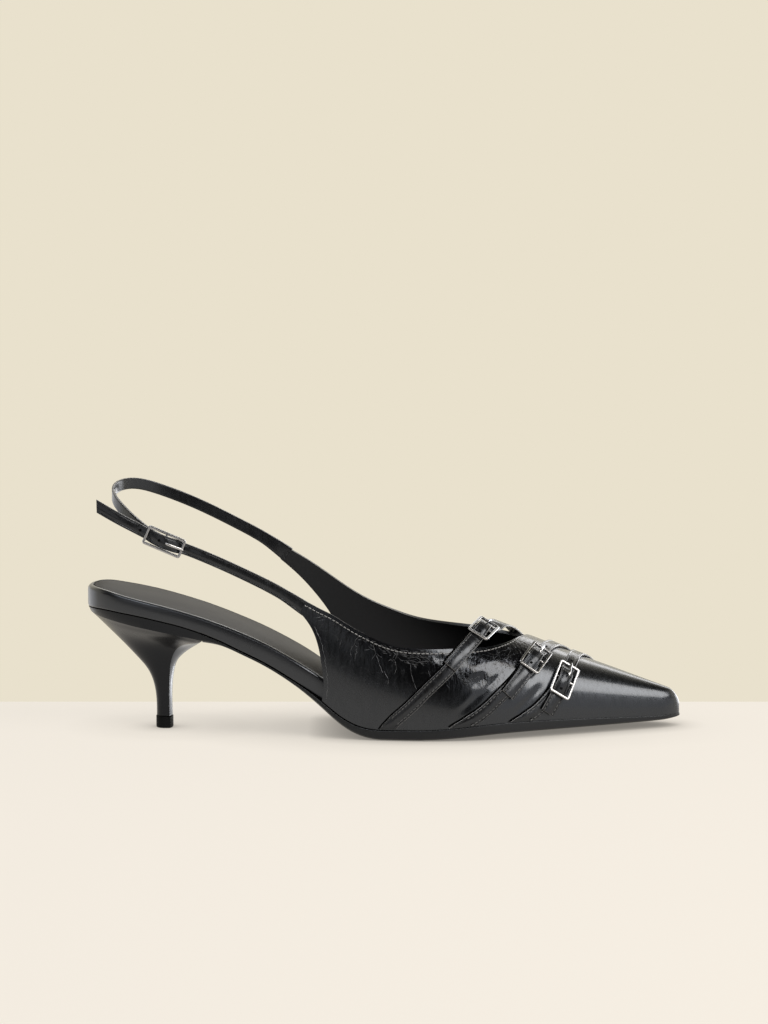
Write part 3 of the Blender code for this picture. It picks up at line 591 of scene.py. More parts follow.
def crinkle_group():
    """Height, dullness and fine crease lines of crinkled patent leather, from object coordinates; the lines also mark
    where glints are painted into the colour.
    """
    group = bpy.data.node_groups.get("crinkled leather")
    if group is not None:
        return group
    group, source, sink = node_group(
        "crinkled leather", "ShaderNodeTree",
        [("Pebble Scale", "Float", 560.0), ("Wave Scale", "Float", 75.0),
         ("Line Scale", "Float", 150.0), ("Line Width", "Float", 0.014)],
        [("Height", "Float"), ("Dullness", "Float"), ("Lines", "Float")],
    )
    coords = add_node(group, "ShaderNodeTexCoord").outputs["Object"]
    drawn = add_node(group, "ShaderNodeMapping", {"Vector": coords, "Scale": (1.0, 1.0, 0.35)}).outputs["Vector"]
    pebble = add_node(group, "ShaderNodeTexNoise", {
        "Vector": drawn, "Scale": source["Pebble Scale"], "Detail": 5.0,
    }).outputs["Fac"]
    wave = add_node(group, "ShaderNodeTexNoise", {
        "Vector": coords, "Scale": source["Wave Scale"], "Detail": 3.0, "Distortion": 0.8,
    }).outputs
    bent = add_node(group, "ShaderNodeVectorMath", {
        0: wave["Color"], 1: (0.014, 0.014, 0.014), 2: coords,
    }, operation="MULTIPLY_ADD").outputs["Vector"]
    cells = add_node(group, "ShaderNodeTexVoronoi", {
        "Vector": bent, "Scale": source["Line Scale"],
    }, feature="DISTANCE_TO_EDGE").outputs["Distance"]
    line = ranged(group, cells, 0.0, source["Line Width"], 1.0, 0.0)
    dashes = maths(group, "MULTIPLY", line, ranged(group, pebble, 0.48, 0.6))
    swell = maths(group, "MULTIPLY", wave["Fac"], 0.22)
    pebbled = maths(group, "MULTIPLY_ADD", pebble, 0.4, swell)
    feed(group, sink, {
        "Height": maths(group, "MULTIPLY_ADD", dashes, 0.12, pebbled),
        "Dullness": ranged(group, pebble, 0.35, 0.7),
        "Lines": dashes,
    })
    return group


def grain_group():
    """Fine even grain for smooth leather, rubber and lacquer."""
    group = bpy.data.node_groups.get("fine grain")
    if group is not None:
        return group
    group, source, sink = node_group(
        "fine grain", "ShaderNodeTree",
        [("Scale", "Float", 900.0), ("Wave Scale", "Float", 40.0)],
        [("Height", "Float"), ("Wave", "Float")],
    )
    coords = add_node(group, "ShaderNodeTexCoord").outputs["Object"]
    for title, output in (("Scale", "Height"), ("Wave Scale", "Wave")):
        noise = add_node(group, "ShaderNodeTexNoise", {"Vector": coords, "Scale": source[title], "Detail": 3.0})
        feed(group, sink, {output: noise.outputs["Fac"]})
    return group


NEUTRAL_GLOSS = (0.84, 0.9, 1.0)
SATIN = 0.12
CRINKLE_DIM = 0.26
COAT_SMOOTH = 0.9
Look = namedtuple(
    "Look", "colour roughness spread specular coat bump depth metallic lines masked group",
    defaults=(0.0, 0.0, False, grain_group),
)
LOOKS = {
    # The crinkled leathers' grey for their crease dashes paints glints along the creases into the colour.
    "patent_crinkle": Look(
        (0.002, 0.002, 0.0022), 0.12, 0.08, 0.68, 0.35, 0.5, 0.0018, lines=0.05, masked=True, group=crinkle_group),
    "strap_leather": Look(
        (0.009, 0.009, 0.0095), 0.22, 0.14, 0.42, 0.3, 0.25, 0.0009, lines=0.02, group=crinkle_group),
    # Light grey on the straps' edge faces: a painted highlight along their edges.
    "strap_edge": Look((0.26, 0.26, 0.262), 0.4, 0.1, 0.5, 0.0, 0.1, 0.0002),
    # Light grey on the thin crease strips: painted glints.
    "crease_glint": Look((0.1, 0.1, 0.102), 0.3, 0.1, 0.6, 0.3, 0.1, 0.0002),
    # Near-black matte strips beside the straps: painted shadow.
    "under_edge": Look((0.001, 0.001, 0.001), 0.8, 0.1, 0.05, 0.0, 0.1, 0.0001),
    "lining": Look((0.025, 0.025, 0.026), 0.55, 0.1, 0.3, 0.0, 0.2, 0.0002),
    "cut_edge": Look((0.03, 0.03, 0.03), 0.35, 0.1, 0.5, 0.0, 0.2, 0.0002),
    "rim_leather": Look((0.01, 0.01, 0.011), 0.24, 0.08, 0.6, 0.3, 0.1, 0.0001),
    "sock_leather": Look((0.012, 0.012, 0.0135), 0.44, 0.1, 0.1, 0.0, 0.15, 0.0002),
    "heel_lacquer": Look((0.005, 0.005, 0.006), 0.24, 0.06, 0.3, 0.0, 0.05, 0.0001),
    # The breast's copy of the heel lacquer, lighter and glossier: a painted highlight down the breast.
    "heel_breast": Look((0.02, 0.02, 0.021), 0.3, 0.06, 1.0, 1.0, 0.05, 0.0001),
    "sole_edge": Look((0.01, 0.01, 0.01), 0.36, 0.12, 0.4, 0.0, 0.2, 0.0002),
    "tip_rubber": Look((0.006, 0.006, 0.006), 0.6, 0.1, 0.15, 0.0, 0.25, 0.0003),
    "buckle_steel": Look((0.48, 0.48, 0.49), 0.22, 0.06, 0.5, 0.0, 0.05, 0.0001, metallic=1.0),
    "strap_thread": Look((0.1, 0.1, 0.1), 0.4, 0.1, 0.5, 0.0, 0.2, 0.0002),
    "thread": Look((0.3, 0.3, 0.3), 0.4, 0.1, 0.5, 0.0, 0.2, 0.0002),
    # Near-black matte plugs in the holes: painted shade.
    "hole_dark": Look((0.002, 0.002, 0.002), 0.8, 0.1, 0.1, 0.0, 0.1, 0.0001),
}


def look(name):
    """The procedural material of one finish."""
    material = bpy.data.materials.get(name)
    if material is not None:
        return material
    style = LOOKS[name]
    material = bpy.data.materials.new(name)
    material.use_nodes = True
    tree = material.node_tree
    texture = add_node(tree, "ShaderNodeGroup", node_tree=style.group()).outputs
    colour, roughness, strength, gloss = (*style.colour, 1), style.roughness, style.bump, style.specular
    # Crease dashes lighten the base colour to the look's grey: painted glints, fewer where the leather is less
    # crinkled.
    if style.lines:
        lines = texture["Lines"]
        if style.masked:
            mask = add_node(tree, "ShaderNodeAttribute", attribute_name="crinkle").outputs["Fac"]
            lines = maths(tree, "MULTIPLY", mask, lines)
            strength = maths(tree, "MULTIPLY", mask, style.bump)
            roughness = maths(tree, "MULTIPLY_ADD", mask, -SATIN, style.roughness + SATIN)
            gloss = maths(tree, "MULTIPLY_ADD", mask, -CRINKLE_DIM, style.specular)
        colour = mixed(tree, lines, style.colour, (style.lines, style.lines, style.lines))
    bump = add_node(tree, "ShaderNodeBump", {"Height": texture[0], "Strength": strength, "Distance": style.depth})
    feed(tree, tree.nodes["Principled BSDF"], {
        "Base Color": colour,
        "Metallic": style.metallic,
        "Roughness": maths(tree, "MULTIPLY_ADD", texture[1], style.spread, roughness),
        "Specular IOR Level": gloss,
        "Specular Tint": (*NEUTRAL_GLOSS, 1),
        "Coat Weight": style.coat,
        "Coat Tint": (*NEUTRAL_GLOSS, 1),
        "Coat Roughness": style.roughness * COAT_SMOOTH,
        "Normal": bump.outputs["Normal"],
    })
    return material


# Mesh helpers


def make_piece(name, points, faces, looks, nodes, marks=None, crinkle=None, closed=True):
    """A finished piece in the row frame, riding on the shoe, that stands for CAD nodes."""
    mesh = bpy.data.meshes.new(name)
    mesh.from_pydata([tuple(to_row(p)) for p in points], [], faces)
    for finish in looks:
        mesh.materials.append(look(finish))
    if marks is not None:
        mesh.polygons.foreach_set("material_index", marks)
    if crinkle is not None:
        mesh.attributes.new("crinkle", "FLOAT", "POINT").data.foreach_set("value", crinkle)
    shape = bmesh.new()
    shape.from_mesh(mesh)
    bmesh.ops.remove_doubles(shape, verts=shape.verts, dist=2e-6)
    bmesh.ops.dissolve_degenerate(shape, edges=shape.edges, dist=1e-6)
    if closed:
        bmesh.ops.recalc_face_normals(shape, faces=shape.faces)
        if shape.calc_volume(signed=True) < 0:
            bmesh.ops.reverse_faces(shape, faces=shape.faces)
    shape.to_mesh(mesh)
    shape.free()
    mesh.shade_smooth()
    mesh.set_sharp_from_angle(angle=math.radians(50))
    thing = bpy.data.objects.new(name, mesh)
    bpy.context.scene.collection.objects.link(thing)
    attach(thing, "root")
    if nodes:
        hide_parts(*nodes)
    return thing


def loft_faces(rings, count, first_cap, last_cap):
    faces = []
    for r in range(rings - 1):
        for k in range(count):
            n = (k + 1) % count
            faces.append((r * count + k, r * count + n, (r + 1) * count + n, (r + 1) * count + k))
    base = (rings - 1) * count
    return faces + list(first_cap) + [tuple(base + k for k in cap) for cap in last_cap]


def lofted(name, rings, cap, looks, nodes):
    faces = loft_faces(len(rings), len(rings[0]), cap, cap)
    return make_piece(name, [p for ring in rings for p in ring], faces, looks, nodes)


# Sole, insole and sock

SOLE_STATIONS = 150
ROUND_STEPS = 6
SOCK_ROUND = 0.35


def quarter(first, last, rise, sink):
    """Rows (inset, height shift) round a quarter turn from a wall up to a flat."""
    rows = []
    for k in range(ROUND_STEPS + 1):
        turn = math.pi / 2 * k / ROUND_STEPS
        rows.append((first + (last - first) * (1 - math.cos(turn)), sink + (rise - sink) * math.sin(turn)))
    return rows


def shifted(curve, by):
    return lambda x: curve(x) + by


def dress_plan(name, stations, rows, round_back, finish, node):
    """A piece that follows the shoe's plan: each row gives a loop's inset and its height at x."""
    rings = [outline_ring(stations, inset, height, round_back) for inset, height in rows]
    lofted(name, rings, outline_cap(len(stations), round_back), [finish], [node])


def dress_outsole():
    def bevel(share):
        def height(x):
            return sole_bottom(x) + min(SOLE_BEVEL_RISE, 0.4 * sole_thick(x)) * share**2.2

        return shifted(sole_margin, SOLE_BEVEL * (1 - share)), height

    rows = [bevel(share) for share in (0.0, 0.35, 0.7, 0.9, 1.0)]
    for inset, rise in quarter(0.0, SOLE_TOP_BEVEL, 0.0, -SOLE_TOP_BEVEL):
        rows.append((shifted(sole_margin, inset), shifted(sole_top, rise)))
    stations = far_end_round(SEAT_FRONT + BREAST_GAP, LENGTH, SOLE_STATIONS)
    dress_plan("outsole_dressed", stations, rows, False, "sole_edge", "outsole")


def dress_insole():
    def rim(share):
        return lambda x: insole_margin(x) + share * rim_round(x)

    rows = []
    for share, rise in ((0.5, 0.0), (0.15, 0.25), (0.0, RIM_ROUND / 2)):
        rows.append((rim(share), shifted(insole_underside, rise)))
    for share, rise in quarter(0.0, 1.0, 0.0, -RIM_ROUND):
        rows.append((rim(share), shifted(insole_top, rise)))
    rows += [(sock_recess, insole_top), (sock_recess, sock_bed)]
    stations = both_ends_round(0.0, LENGTH, SOLE_STATIONS)
    dress_plan("insole_dressed", stations, rows, True, "rim_leather", "insole")


def dress_insock():
    rows = [(sock_margin, shifted(insole_top, -SOCK_THICK))]
    for inset, rise in quarter(0.0, SOCK_ROUND, 0.0, -SOCK_ROUND):
        rows.append((shifted(sock_margin, inset), shifted(insole_top, rise)))
    stations = both_ends_round(0.0, LENGTH, SOLE_STATIONS)
    dress_plan("insock_dressed", stations, rows, True, "sock_leather", "insock")


# Heel and top piece

HEEL_RINGS = 90
HEEL_SIDES = 30
HEEL_FRONT = 18


def dress_heel():
    run = [float(k) for k in range(len(HEEL))]
    curves = {name: Curve(run, [getattr(row, name) for row in HEEL]) for name in Ring._fields}
    seat_row = Ring(0.3, 0.0, SEAT_FRONT, 0.0, outer_reach(SEAT_FRONT) - 0.2, 0.0)
    rings = [heel_ring(seat_row, lambda x, share: seat_join(x) - GAP / 2, 0.0, HEEL_SIDES, HEEL_FRONT)]
    for k in range(HEEL_RINGS + 1):
        s = run[-1] * k / HEEL_RINGS
        row = Ring(*[max(curves[name](s), 0.0) for name in Ring._fields])
        rings.append(heel_ring(
            row, lambda x, share, row=row: row.back_z + (row.front_z - row.back_z) * share, 0.0,
            HEEL_SIDES, HEEL_FRONT,
        ))
    cap = heel_cap(HEEL_SIDES, HEEL_FRONT)
    faces = loft_faces(len(rings), len(rings[0]), cap, cap)
    # Breast faces take the lighter, glossier copy of the lacquer, which paints a highlight down the breast.
    around = [1 if HEEL_SIDES <= k < HEEL_SIDES + HEEL_FRONT else 0 for k in range(len(rings[0]))]
    marks = around * (len(rings) - 1) + [0] * (2 * len(cap))
    points = [point for ring in rings for point in ring]
    make_piece("heel_dressed", points, faces, ["heel_lacquer", "heel_breast"], ["heel"], marks)


def dress_top_piece():
    levels = [(TIP_HEIGHT, TIP_LIP - 0.15), (TIP_HEIGHT - 0.15, TIP_LIP), (0.5, TIP_LIP), (0.15, 0.1), (0.0, -0.1)]
    rings = [heel_ring(HEEL[-1], lambda x, share, z=z: z, grow, HEEL_SIDES, HEEL_FRONT) for z, grow in levels]
    cap = heel_cap(HEEL_SIDES, HEEL_FRONT)
    lofted("top_piece_dressed", rings, cap, ["tip_rubber"], ["heel_top_piece"])


# Upper with its creases

WALL = 1.6
CRINKLE_CLIMB = (0.25, 0.62)
CRINKLE_TOE = (186.0, 214.0)
CRINKLE_WING = (146.0, 162.0)

# Creases on the upper: ends as x and height on one side, soft width and depth (up if negative)
Crease = namedtuple("Crease", "side x0 z0 x1 z1 width depth")
CREASES = table(
    Crease,
    (-1, 152.0, 36.0, 160.0, 35.0, 1.6, 0.3), (-1, 164.0, 29.0, 184.0, 35.0, 4.0, -0.35),
    (-1, 168.0, 24.0, 178.0, 27.5, 2.6, 0.3), (-1, 187.0, 32.0, 161.0, 9.5, 1.4, 0.2),
    (-1, 203.0, 25.0, 187.0, 9.5, 1.4, 0.25), (1, 122.0, 42.0, 128.0, 34.0, 0.55, 0.14),
    (1, 140.0, 38.0, 150.0, 33.0, 0.55, 0.14), (1, 150.0, 30.0, 168.0, 33.0, 2.0, 0.4),
    (1, 165.0, 24.0, 176.0, 27.0, 1.2, 0.25),
)


def side_angle(side, x, z):
    angle = angle_at(x, z)
    return angle if side < 0 else 180 - angle


def crease_shift(points):
    """How far each point on the last moves out along its normal for the creases."""
    points = np.array([tuple(p) for p in points])
    shift = np.zeros(len(points))
    for row in CREASES:
        steps = 10
        route = []
        for k in range(steps + 1):
            t = k / steps
            x = row.x0 + (row.x1 - row.x0) * t
            z = row.z0 + (row.z1 - row.z0) * t
            route.append(tuple(last_point(x, side_angle(row.side, x, z))))
        route = np.array(route)
        distance = np.full(len(points), 1e9)
        share = np.zeros(len(points))
        for k, (a, b) in enumerate(zip(route, route[1:])):
            ab = b - a
            t = np.clip(((points - a) @ ab) / (ab @ ab), 0, 1)
            far = np.linalg.norm(points - a - t[:, None] * ab, axis=1)
            share = np.where(far < distance, (k + t) / steps, share)
            distance = np.minimum(distance, far)
        ends = np.clip(np.minimum(share, 1 - share) / CREASE_END, 0, 1)
        depth = row.depth * ends * ends * (3 - 2 * ends)
        shift += -depth * np.exp(-((distance / row.width) ** 2))
        shift += 0.35 * depth * np.exp(-(((distance - 2 * row.width) / row.width) ** 2))
    return shift


def smooth_share(value, low, high):
    k = min(max((value - low) / (high - low), 0.0), 1.0)
    return k * k * (3 - 2 * k)


def crinkle_share(x, share):
    """How crinkled the leather is: most along the topline, least on the toe and low on the wall."""
    height = 0.12 + 0.88 * smooth_share(share, *CRINKLE_CLIMB)
    toe = 1.0 - 0.92 * smooth_share(x, *CRINKLE_TOE)
    wing = 0.4 + 0.6 * smooth_share(x, *CRINKLE_WING)
    return height * toe * wing


# Fine creases on the outer wing as routes of x and height, drawn as light grey strips that paint their glints
Glint = namedtuple("Glint", "width route")
GLINTS = table(
    Glint,
    (0.28, [(120.0, 45.9), (117.9, 42.0), (119.3, 40.7), (118.3, 34.6)]),
    (0.22, [(117.9, 42.0), (116.3, 39.0), (116.8, 36.5)]),
    (0.3, [(126.2, 42.8), (127.3, 38.0), (129.0, 33.6), (130.5, 29.7)]),
    (0.22, [(127.3, 38.0), (125.4, 35.2)]),
    (0.3, [(137.3, 38.9), (135.7, 35.4), (136.4, 32.3), (135.6, 29.3)]),
    (0.24, [(137.3, 38.9), (134.2, 35.8), (133.0, 34.9)]),
    (0.3, [(142.5, 33.6), (142.7, 30.1), (144.1, 25.3), (145.5, 22.3)]),
    (0.3, [(139.9, 34.5), (143.0, 33.6), (146.0, 33.2)]),
    (0.3, [(138.5, 37.4), (142.0, 36.4), (146.5, 36.6), (150.0, 36.2)]),
    (0.26, [(141.0, 35.4), (146.0, 34.4), (151.0, 34.9)]),
    (0.24, [(101.0, 53.2), (104.0, 53.8), (106.5, 53.2)]), (0.2, [(102.5, 52.0), (105.5, 52.4)]),
    (0.24, [(176.0, 29.0), (175.3, 25.6), (176.2, 23.6)]), (0.2, [(179.0, 28.2), (178.0, 24.4)]),
    (0.24, [(131.0, 30.5), (133.0, 27.0), (132.6, 24.6)]), (0.2, [(150.0, 31.0), (151.5, 28.0)]),
    (0.2, [(112.5, 44.0), (111.6, 40.0)]),
)
# Short painted glints scattered under the topline and on the fold
FLECKS = 170
FLECK_SEED = 7
FOLD_FLECKS = (164.0, 181.0)
TOPLINE_FLECKS = (116.0, 146.0, 158.0)
EDGE_FOLD = 1.9
EDGE_FOLD_RISE = 0.3
GLINT_LIFT = 0.03
GLINT_FINE = 0.6
CREASE_END = 0.35


def glint_routes():
    """The listed creases, the wing's folded edge, and short random creases under the topline and on the fold."""
    # The strip just inside the wing's back edge paints the glint along its folded edge.
    folded = Glint(0.3, [(row.x + EDGE_FOLD, row.z + EDGE_FOLD_RISE) for row in OUTER_WING[:-2]])
    for row in GLINTS + [folded]:
        for (x0, z0), (x1, z1) in zip(row.route, row.route[1:]):
            yield row.width * GLINT_FINE, x0, angle_at(x0, z0), x1, angle_at(x1, z1)
    chance = np.random.RandomState(FLECK_SEED)
    topline = column(OUTER_TOPLINE, "angle")
    for k in range(FLECKS):
        on_fold = k % 3 == 2
        x = chance.uniform(*FOLD_FLECKS) if on_fold else chance.triangular(*TOPLINE_FLECKS)
        below = chance.uniform(6.0, 15.0) if on_fold else 0.8 + 6.0 * chance.uniform() ** 1.6
        angle = topline(x) - below / last_slopes(x, topline(x))[1].length
        run = chance.uniform(0.6, 2.6)
        tilt = chance.uniform(-0.7, 0.7)
        rise = run * tilt / last_slopes(x, angle)[1].length
        yield chance.uniform(0.08, 0.18), x, angle, x + run, angle + rise


def dress_glints():
    """Thin raised strips along creases of the upper, each bent a little at random, in light grey that paints the
    creases' glints.
    """
    points = []
    faces = []
    chance = np.random.RandomState(FLECK_SEED + 1)
    for width, x0, a0, x1, a1 in glint_routes():
        steps = 8
        base = len(points)
        for k in range(steps + 1):
            t = k / steps
            ahead = last_point(x1, a1) - last_point(x0, a0)
            ragged = chance.uniform(-0.05, 0.05) * ahead.length * math.sin(math.pi * t)
            x, angle = x0 + (x1 - x0) * t + ragged, a0 + (a1 - a0) * t
            normal = last_normal(x, angle)
            side = normal.cross(ahead).normalized() * (width / 2 * (0.35 + 0.65 * math.sin(math.pi * t)))
            at = last_point(x, angle) + normal * GLINT_LIFT
            points += [at - side, at + normal * (width * 0.4), at + side]
        for k in range(steps):
            a = base + 3 * k
            faces += [(a, a + 3, a + 4, a + 1), (a + 1, a + 4, a + 5, a + 2)]
    make_piece("crease_glints", points, faces, ["crease_glint"], [], closed=False)


def dress_upper(settings):
    """Outer face with creases, inner face plain, and the cut edge between them."""
    outer = []
    inner = []
    shares = []
    faces = []
    marks = []
    width = WALL_ROWS + 1
    for side in (-1, 1):
        base = len(outer)
        grid = upper_half(side)
        normals = []
        for row in grid:
            for k, (x, angle) in enumerate(row):
                point = last_point(x, angle)
                normal = last_normal(x, angle)
                if k == 0:
                    point = point - Vector((0, 0, GAP))
                outer.append(point)
                inner.append(point - normal * WALL)
                normals.append(normal)
                shares.append(crinkle_share(x, k / WALL_ROWS) * min(1.0, (WALL_ROWS - k) / 4))
        moved = crease_shift(outer[base:]) * settings.crease_depth
        for k, (normal, out) in enumerate(zip(normals, moved)):
            outer[base + k] = outer[base + k] + normal * float(out)
    total = len(outer)
    half = total // 2
    stations = half // width
    for side_base, flip in ((0, False), (half, True)):
        for i in range(stations - 1):
            for k in range(WALL_ROWS):
                a = side_base + i * width + k
                quad = (a, a + width, a + width + 1, a + 1)
                quad = quad[::-1] if flip else quad
                faces.append(quad)
                marks.append(0)
                faces.append(tuple(total + v for v in quad[::-1]))
                marks.append(1)
        edges = [(i * width + WALL_ROWS, (i + 1) * width + WALL_ROWS) for i in range(WING_STATIONS)]
        edges += [((i + 1) * width, i * width) for i in range(stations - 1)]
        edges += [(k, k + 1) for k in range(WALL_ROWS)]
        for a, b in edges:
            a, b = side_base + a, side_base + b
            quad = (a, b, total + b, total + a)
            faces.append(quad[::-1] if flip else quad)
            marks.append(2)
    finishes = ["patent_crinkle", "lining", "cut_edge"]
    make_piece("upper_dressed", outer + inner, faces, finishes, ["upper"], marks, shares + shares)


def bake(thing):
    """Turns a piece's modifiers into its plain mesh."""
    bpy.context.view_layer.update()
    graph = bpy.context.evaluated_depsgraph_get()
    mesh = bpy.data.meshes.new_from_object(thing.evaluated_get(graph))
    thing.modifiers.clear()
    thing.data = mesh
    mesh.set_sharp_from_angle(angle=math.radians(50))


# Straps

STRAP_SIDE_STEPS = 8
EDGE_ROUND = 0.35
GROOVE = 0.22
# Near-black strips beside the straps paint their shadow: how far each reaches under and out from the edge, and its
# lift
SHADOW_STRIP_IN = 0.6
SHADOW_STRIP_OUT = 0.75
SHADOW_STRIP_LIFT = 0.22
TUCK = 6.5
TUCK_RISE = 1.6
SAG = 1.7
SAG_SPAN = (35.0, 40.0, 43.0, 49.0)
TAB_WIDE = 6.3
BAND_WIDE = 5.4
BRIDGE_WIDE = 7.6
ROOT_LENGTH = 14.0
ROOT_WIDE = 0.9
ROOT_THICK = 0.4
BUCKLED_WIDE = 0.9
BUCKLED_BEND = 7
TIP_SLANT = 0.6


def band_ring(half, thick):
    """Rows (across, up) of a strap's section, once round: rounded edges, and a groove inside each."""
    flat = half - EDGE_ROUND
    low = [(-flat + 2 * flat * k / STRAP_SIDE_STEPS, 0.0) for k in range(STRAP_SIDE_STEPS + 1)]
    right = [(half - EDGE_ROUND * 0.3, EDGE_ROUND * 0.3), (half, EDGE_ROUND), (half, thick - EDGE_ROUND)]
    right += [(half - EDGE_ROUND * 0.3, thick - EDGE_ROUND * 0.3)]
    top = [(flat, thick), (flat - 0.35, thick), (flat - 0.55, thick - GROOVE), (flat - 0.8, thick - GROOVE * 0.3)]
    top += [(0.0, thick - GROOVE * 0.2)]
    top += [(-across, up) for across, up in top[-2::-1]]
    left = [(-across, up) for across, up in right[::-1]]
    return low + right + top + left


def section_cap(count):
    """Faces across a strap's section, as a fan from its first point."""
    return [(0, k, k + 1) for k in range(1, count - 1)]


def edge_marks(ring, steps, cap):
    """Which faces of a strap show its cut edge: both sides and both ends."""
    half = max(across for across, up in ring)
    sides = []
    for (a, up_a), (b, up_b) in zip(ring, ring[1:] + ring[:1]):
        sides.append(1 if min(abs(a), abs(b)) > half - EDGE_ROUND * 0.5 else 0)
    return sides * steps + [1] * (2 * len(cap))


def dressed_band(node, route, first, last, width, lift, steps):
    """A vamp strap along a route, with its width and lift as functions of the distance along it."""
    points = []
    for i in range(steps + 1):
        s = first + (last - first) * i / steps
        ring = band_ring(width(s) / 2, LEATHER)
        spots = {}
        for across, up in ring:
            if across not in spots:
                x, angle = route.across(s, across)
                rise = min(angle, 180 - angle) * last_slopes(x, angle)[1].length
                tuck = 0.5 + 0.5 * smooth_share(rise, 0.0, TUCK_RISE)
                spots[across] = (last_point(x, angle), last_normal(x, angle), tuck)
            at, normal, tuck = spots[across]
            points.append(at + normal * ((lift(s) + up) * tuck))
    cap = section_cap(len(ring))
    faces = loft_faces(steps + 1, len(ring), cap, cap)
    # The edge faces take the light grey edge finish: a painted highlight along the strap's edges.
    marks = edge_marks(ring, steps, cap)
    make_piece(node + "_dressed", points, faces, ["strap_leather", "strap_edge"], [node], marks)


def strap_lifts(tie, strap, seat):
    half = VAMP_BUCKLE.length / 2
    middle = strap.buckle_at
    hump = seat[3] + BUCKLE_WIRE / 2 + GAP + BUCKLE_PLAY
    on_band = 2 * GAP + LEATHER
    return [
        (0.0, on_band),
        (middle - half + BUCKLE_WIRE, on_band),
        (middle - 1.0, hump),
        (middle + 1.0, hump),
        (middle + half - BUCKLE_WIRE, GAP),
        (tie.length, GAP),
    ]


def strap_widths(strap, past_buckle):
    """Width along an inner strap: a full tab, the strap in its buckle, and past the throat."""
    half = VAMP_BUCKLE.length / 2
    at = strap.buckle_at
    return [(0.0, TAB_WIDE), (at - half, TAB_WIDE), (at, STRAP_WIDTH), (at + half, STRAP_WIDTH),
            (at + half + 4, past_buckle), (at + half + 16, past_buckle), (at + half + 26, STRAP_WIDTH)]


def shadow_strip(name, route, first, last, edge, lift):
    """Painted shadow beside a strap on its heel side: a thin near-black strip on the leather below, standing for the
    shade at the strap's edge.
    """
    points = []
    faces = []
    steps = 50
    for i in range(steps + 1):
        s = first + (last - first) * i / steps
        for across in (edge - SHADOW_STRIP_IN, edge + SHADOW_STRIP_OUT):
            x, angle = route.across(s, across)
            points.append(last_point(x, angle) + last_normal(x, angle) * lift)
        if i:
            a = 2 * i - 2
            faces.append((a, a + 1, a + 3, a + 2))
    make_piece(name, points, faces, ["under_edge"], [], closed=False)


def sag_share(s):
    """How far the strap that bridges the throat sags between its buckle and the inner topline."""
    start, full, fall, end = SAG_SPAN
    return smooth_share(s, start, full) * (1 - smooth_share(s, fall, end))


def dress_vamp_straps():
    for number, strap in enumerate(VAMP_STRAPS, 1):
        band = Route(strap.band)
        tie = Route(strap.strap)
        seat = buckle_seat(tie, strap.buckle_at)
        lifts = strap_lifts(tie, strap, seat)
        wide = strap_widths(strap, BRIDGE_WIDE if number == 1 else STRAP_WIDTH)
        band_end = band.nearest(tie.point(strap.buckle_at)) - BUCKLE_WIRE / 2 - GAP
        dip = SAG if number == 1 else 0.0
        dressed_band(f"vamp_band_{number}", band, -TUCK, band_end, lambda s: BAND_WIDE, lambda s: GAP, 60)
        dressed_band(
            f"vamp_strap_{number}", tie, 0.0, tie.length + TUCK,
            lambda s: eased(s, wide), lambda s: eased(s, lifts) - dip * sag_share(s), 120,
        )
        dress_buckle(f"vamp_buckle_{number}", f"vamp_prong_{number}", VAMP_BUCKLE, seat[:3])
        tab_end = strap.buckle_at - VAMP_BUCKLE.length / 2
        # A near-black strip beside each band and tab on its heel side paints the strap's shadow.
        shadow_strip(f"band_{number}_underlay", band, -TUCK, band_end, BAND_WIDE / 2, SHADOW_STRIP_LIFT)
        shadow_strip(f"tab_{number}_underlay", tie, 0.0, tab_end, TAB_WIDE / 2, GAP + LEATHER + SHADOW_STRIP_LIFT)


class SpaceRoute:
    """Smooth route in space through bends, with its width held as upright as it can be."""

    def __init__(self, bends):
        knots = [Vector((b.x, b.y, b.z)) for b in bends]
        self.run = np.cumsum([0.0] + [(b - a).length for a, b in zip(knots, knots[1:])])
        self.axes = [Curve(self.run, [k[i] for k in knots]) for i in range(3)]
        self.width = Curve(self.run, [b.width for b in bends])
        self.length = float(self.run[-1])

    def frame(self, s):
        at = Vector([axis(s) for axis in self.axes])
        ahead = Vector([axis(s + 0.5) - axis(s - 0.5) for axis in self.axes]).normalized()
        up = (Vector((0, 0, 1)) - ahead * ahead.z).normalized()
        return at, up, ahead.cross(up)


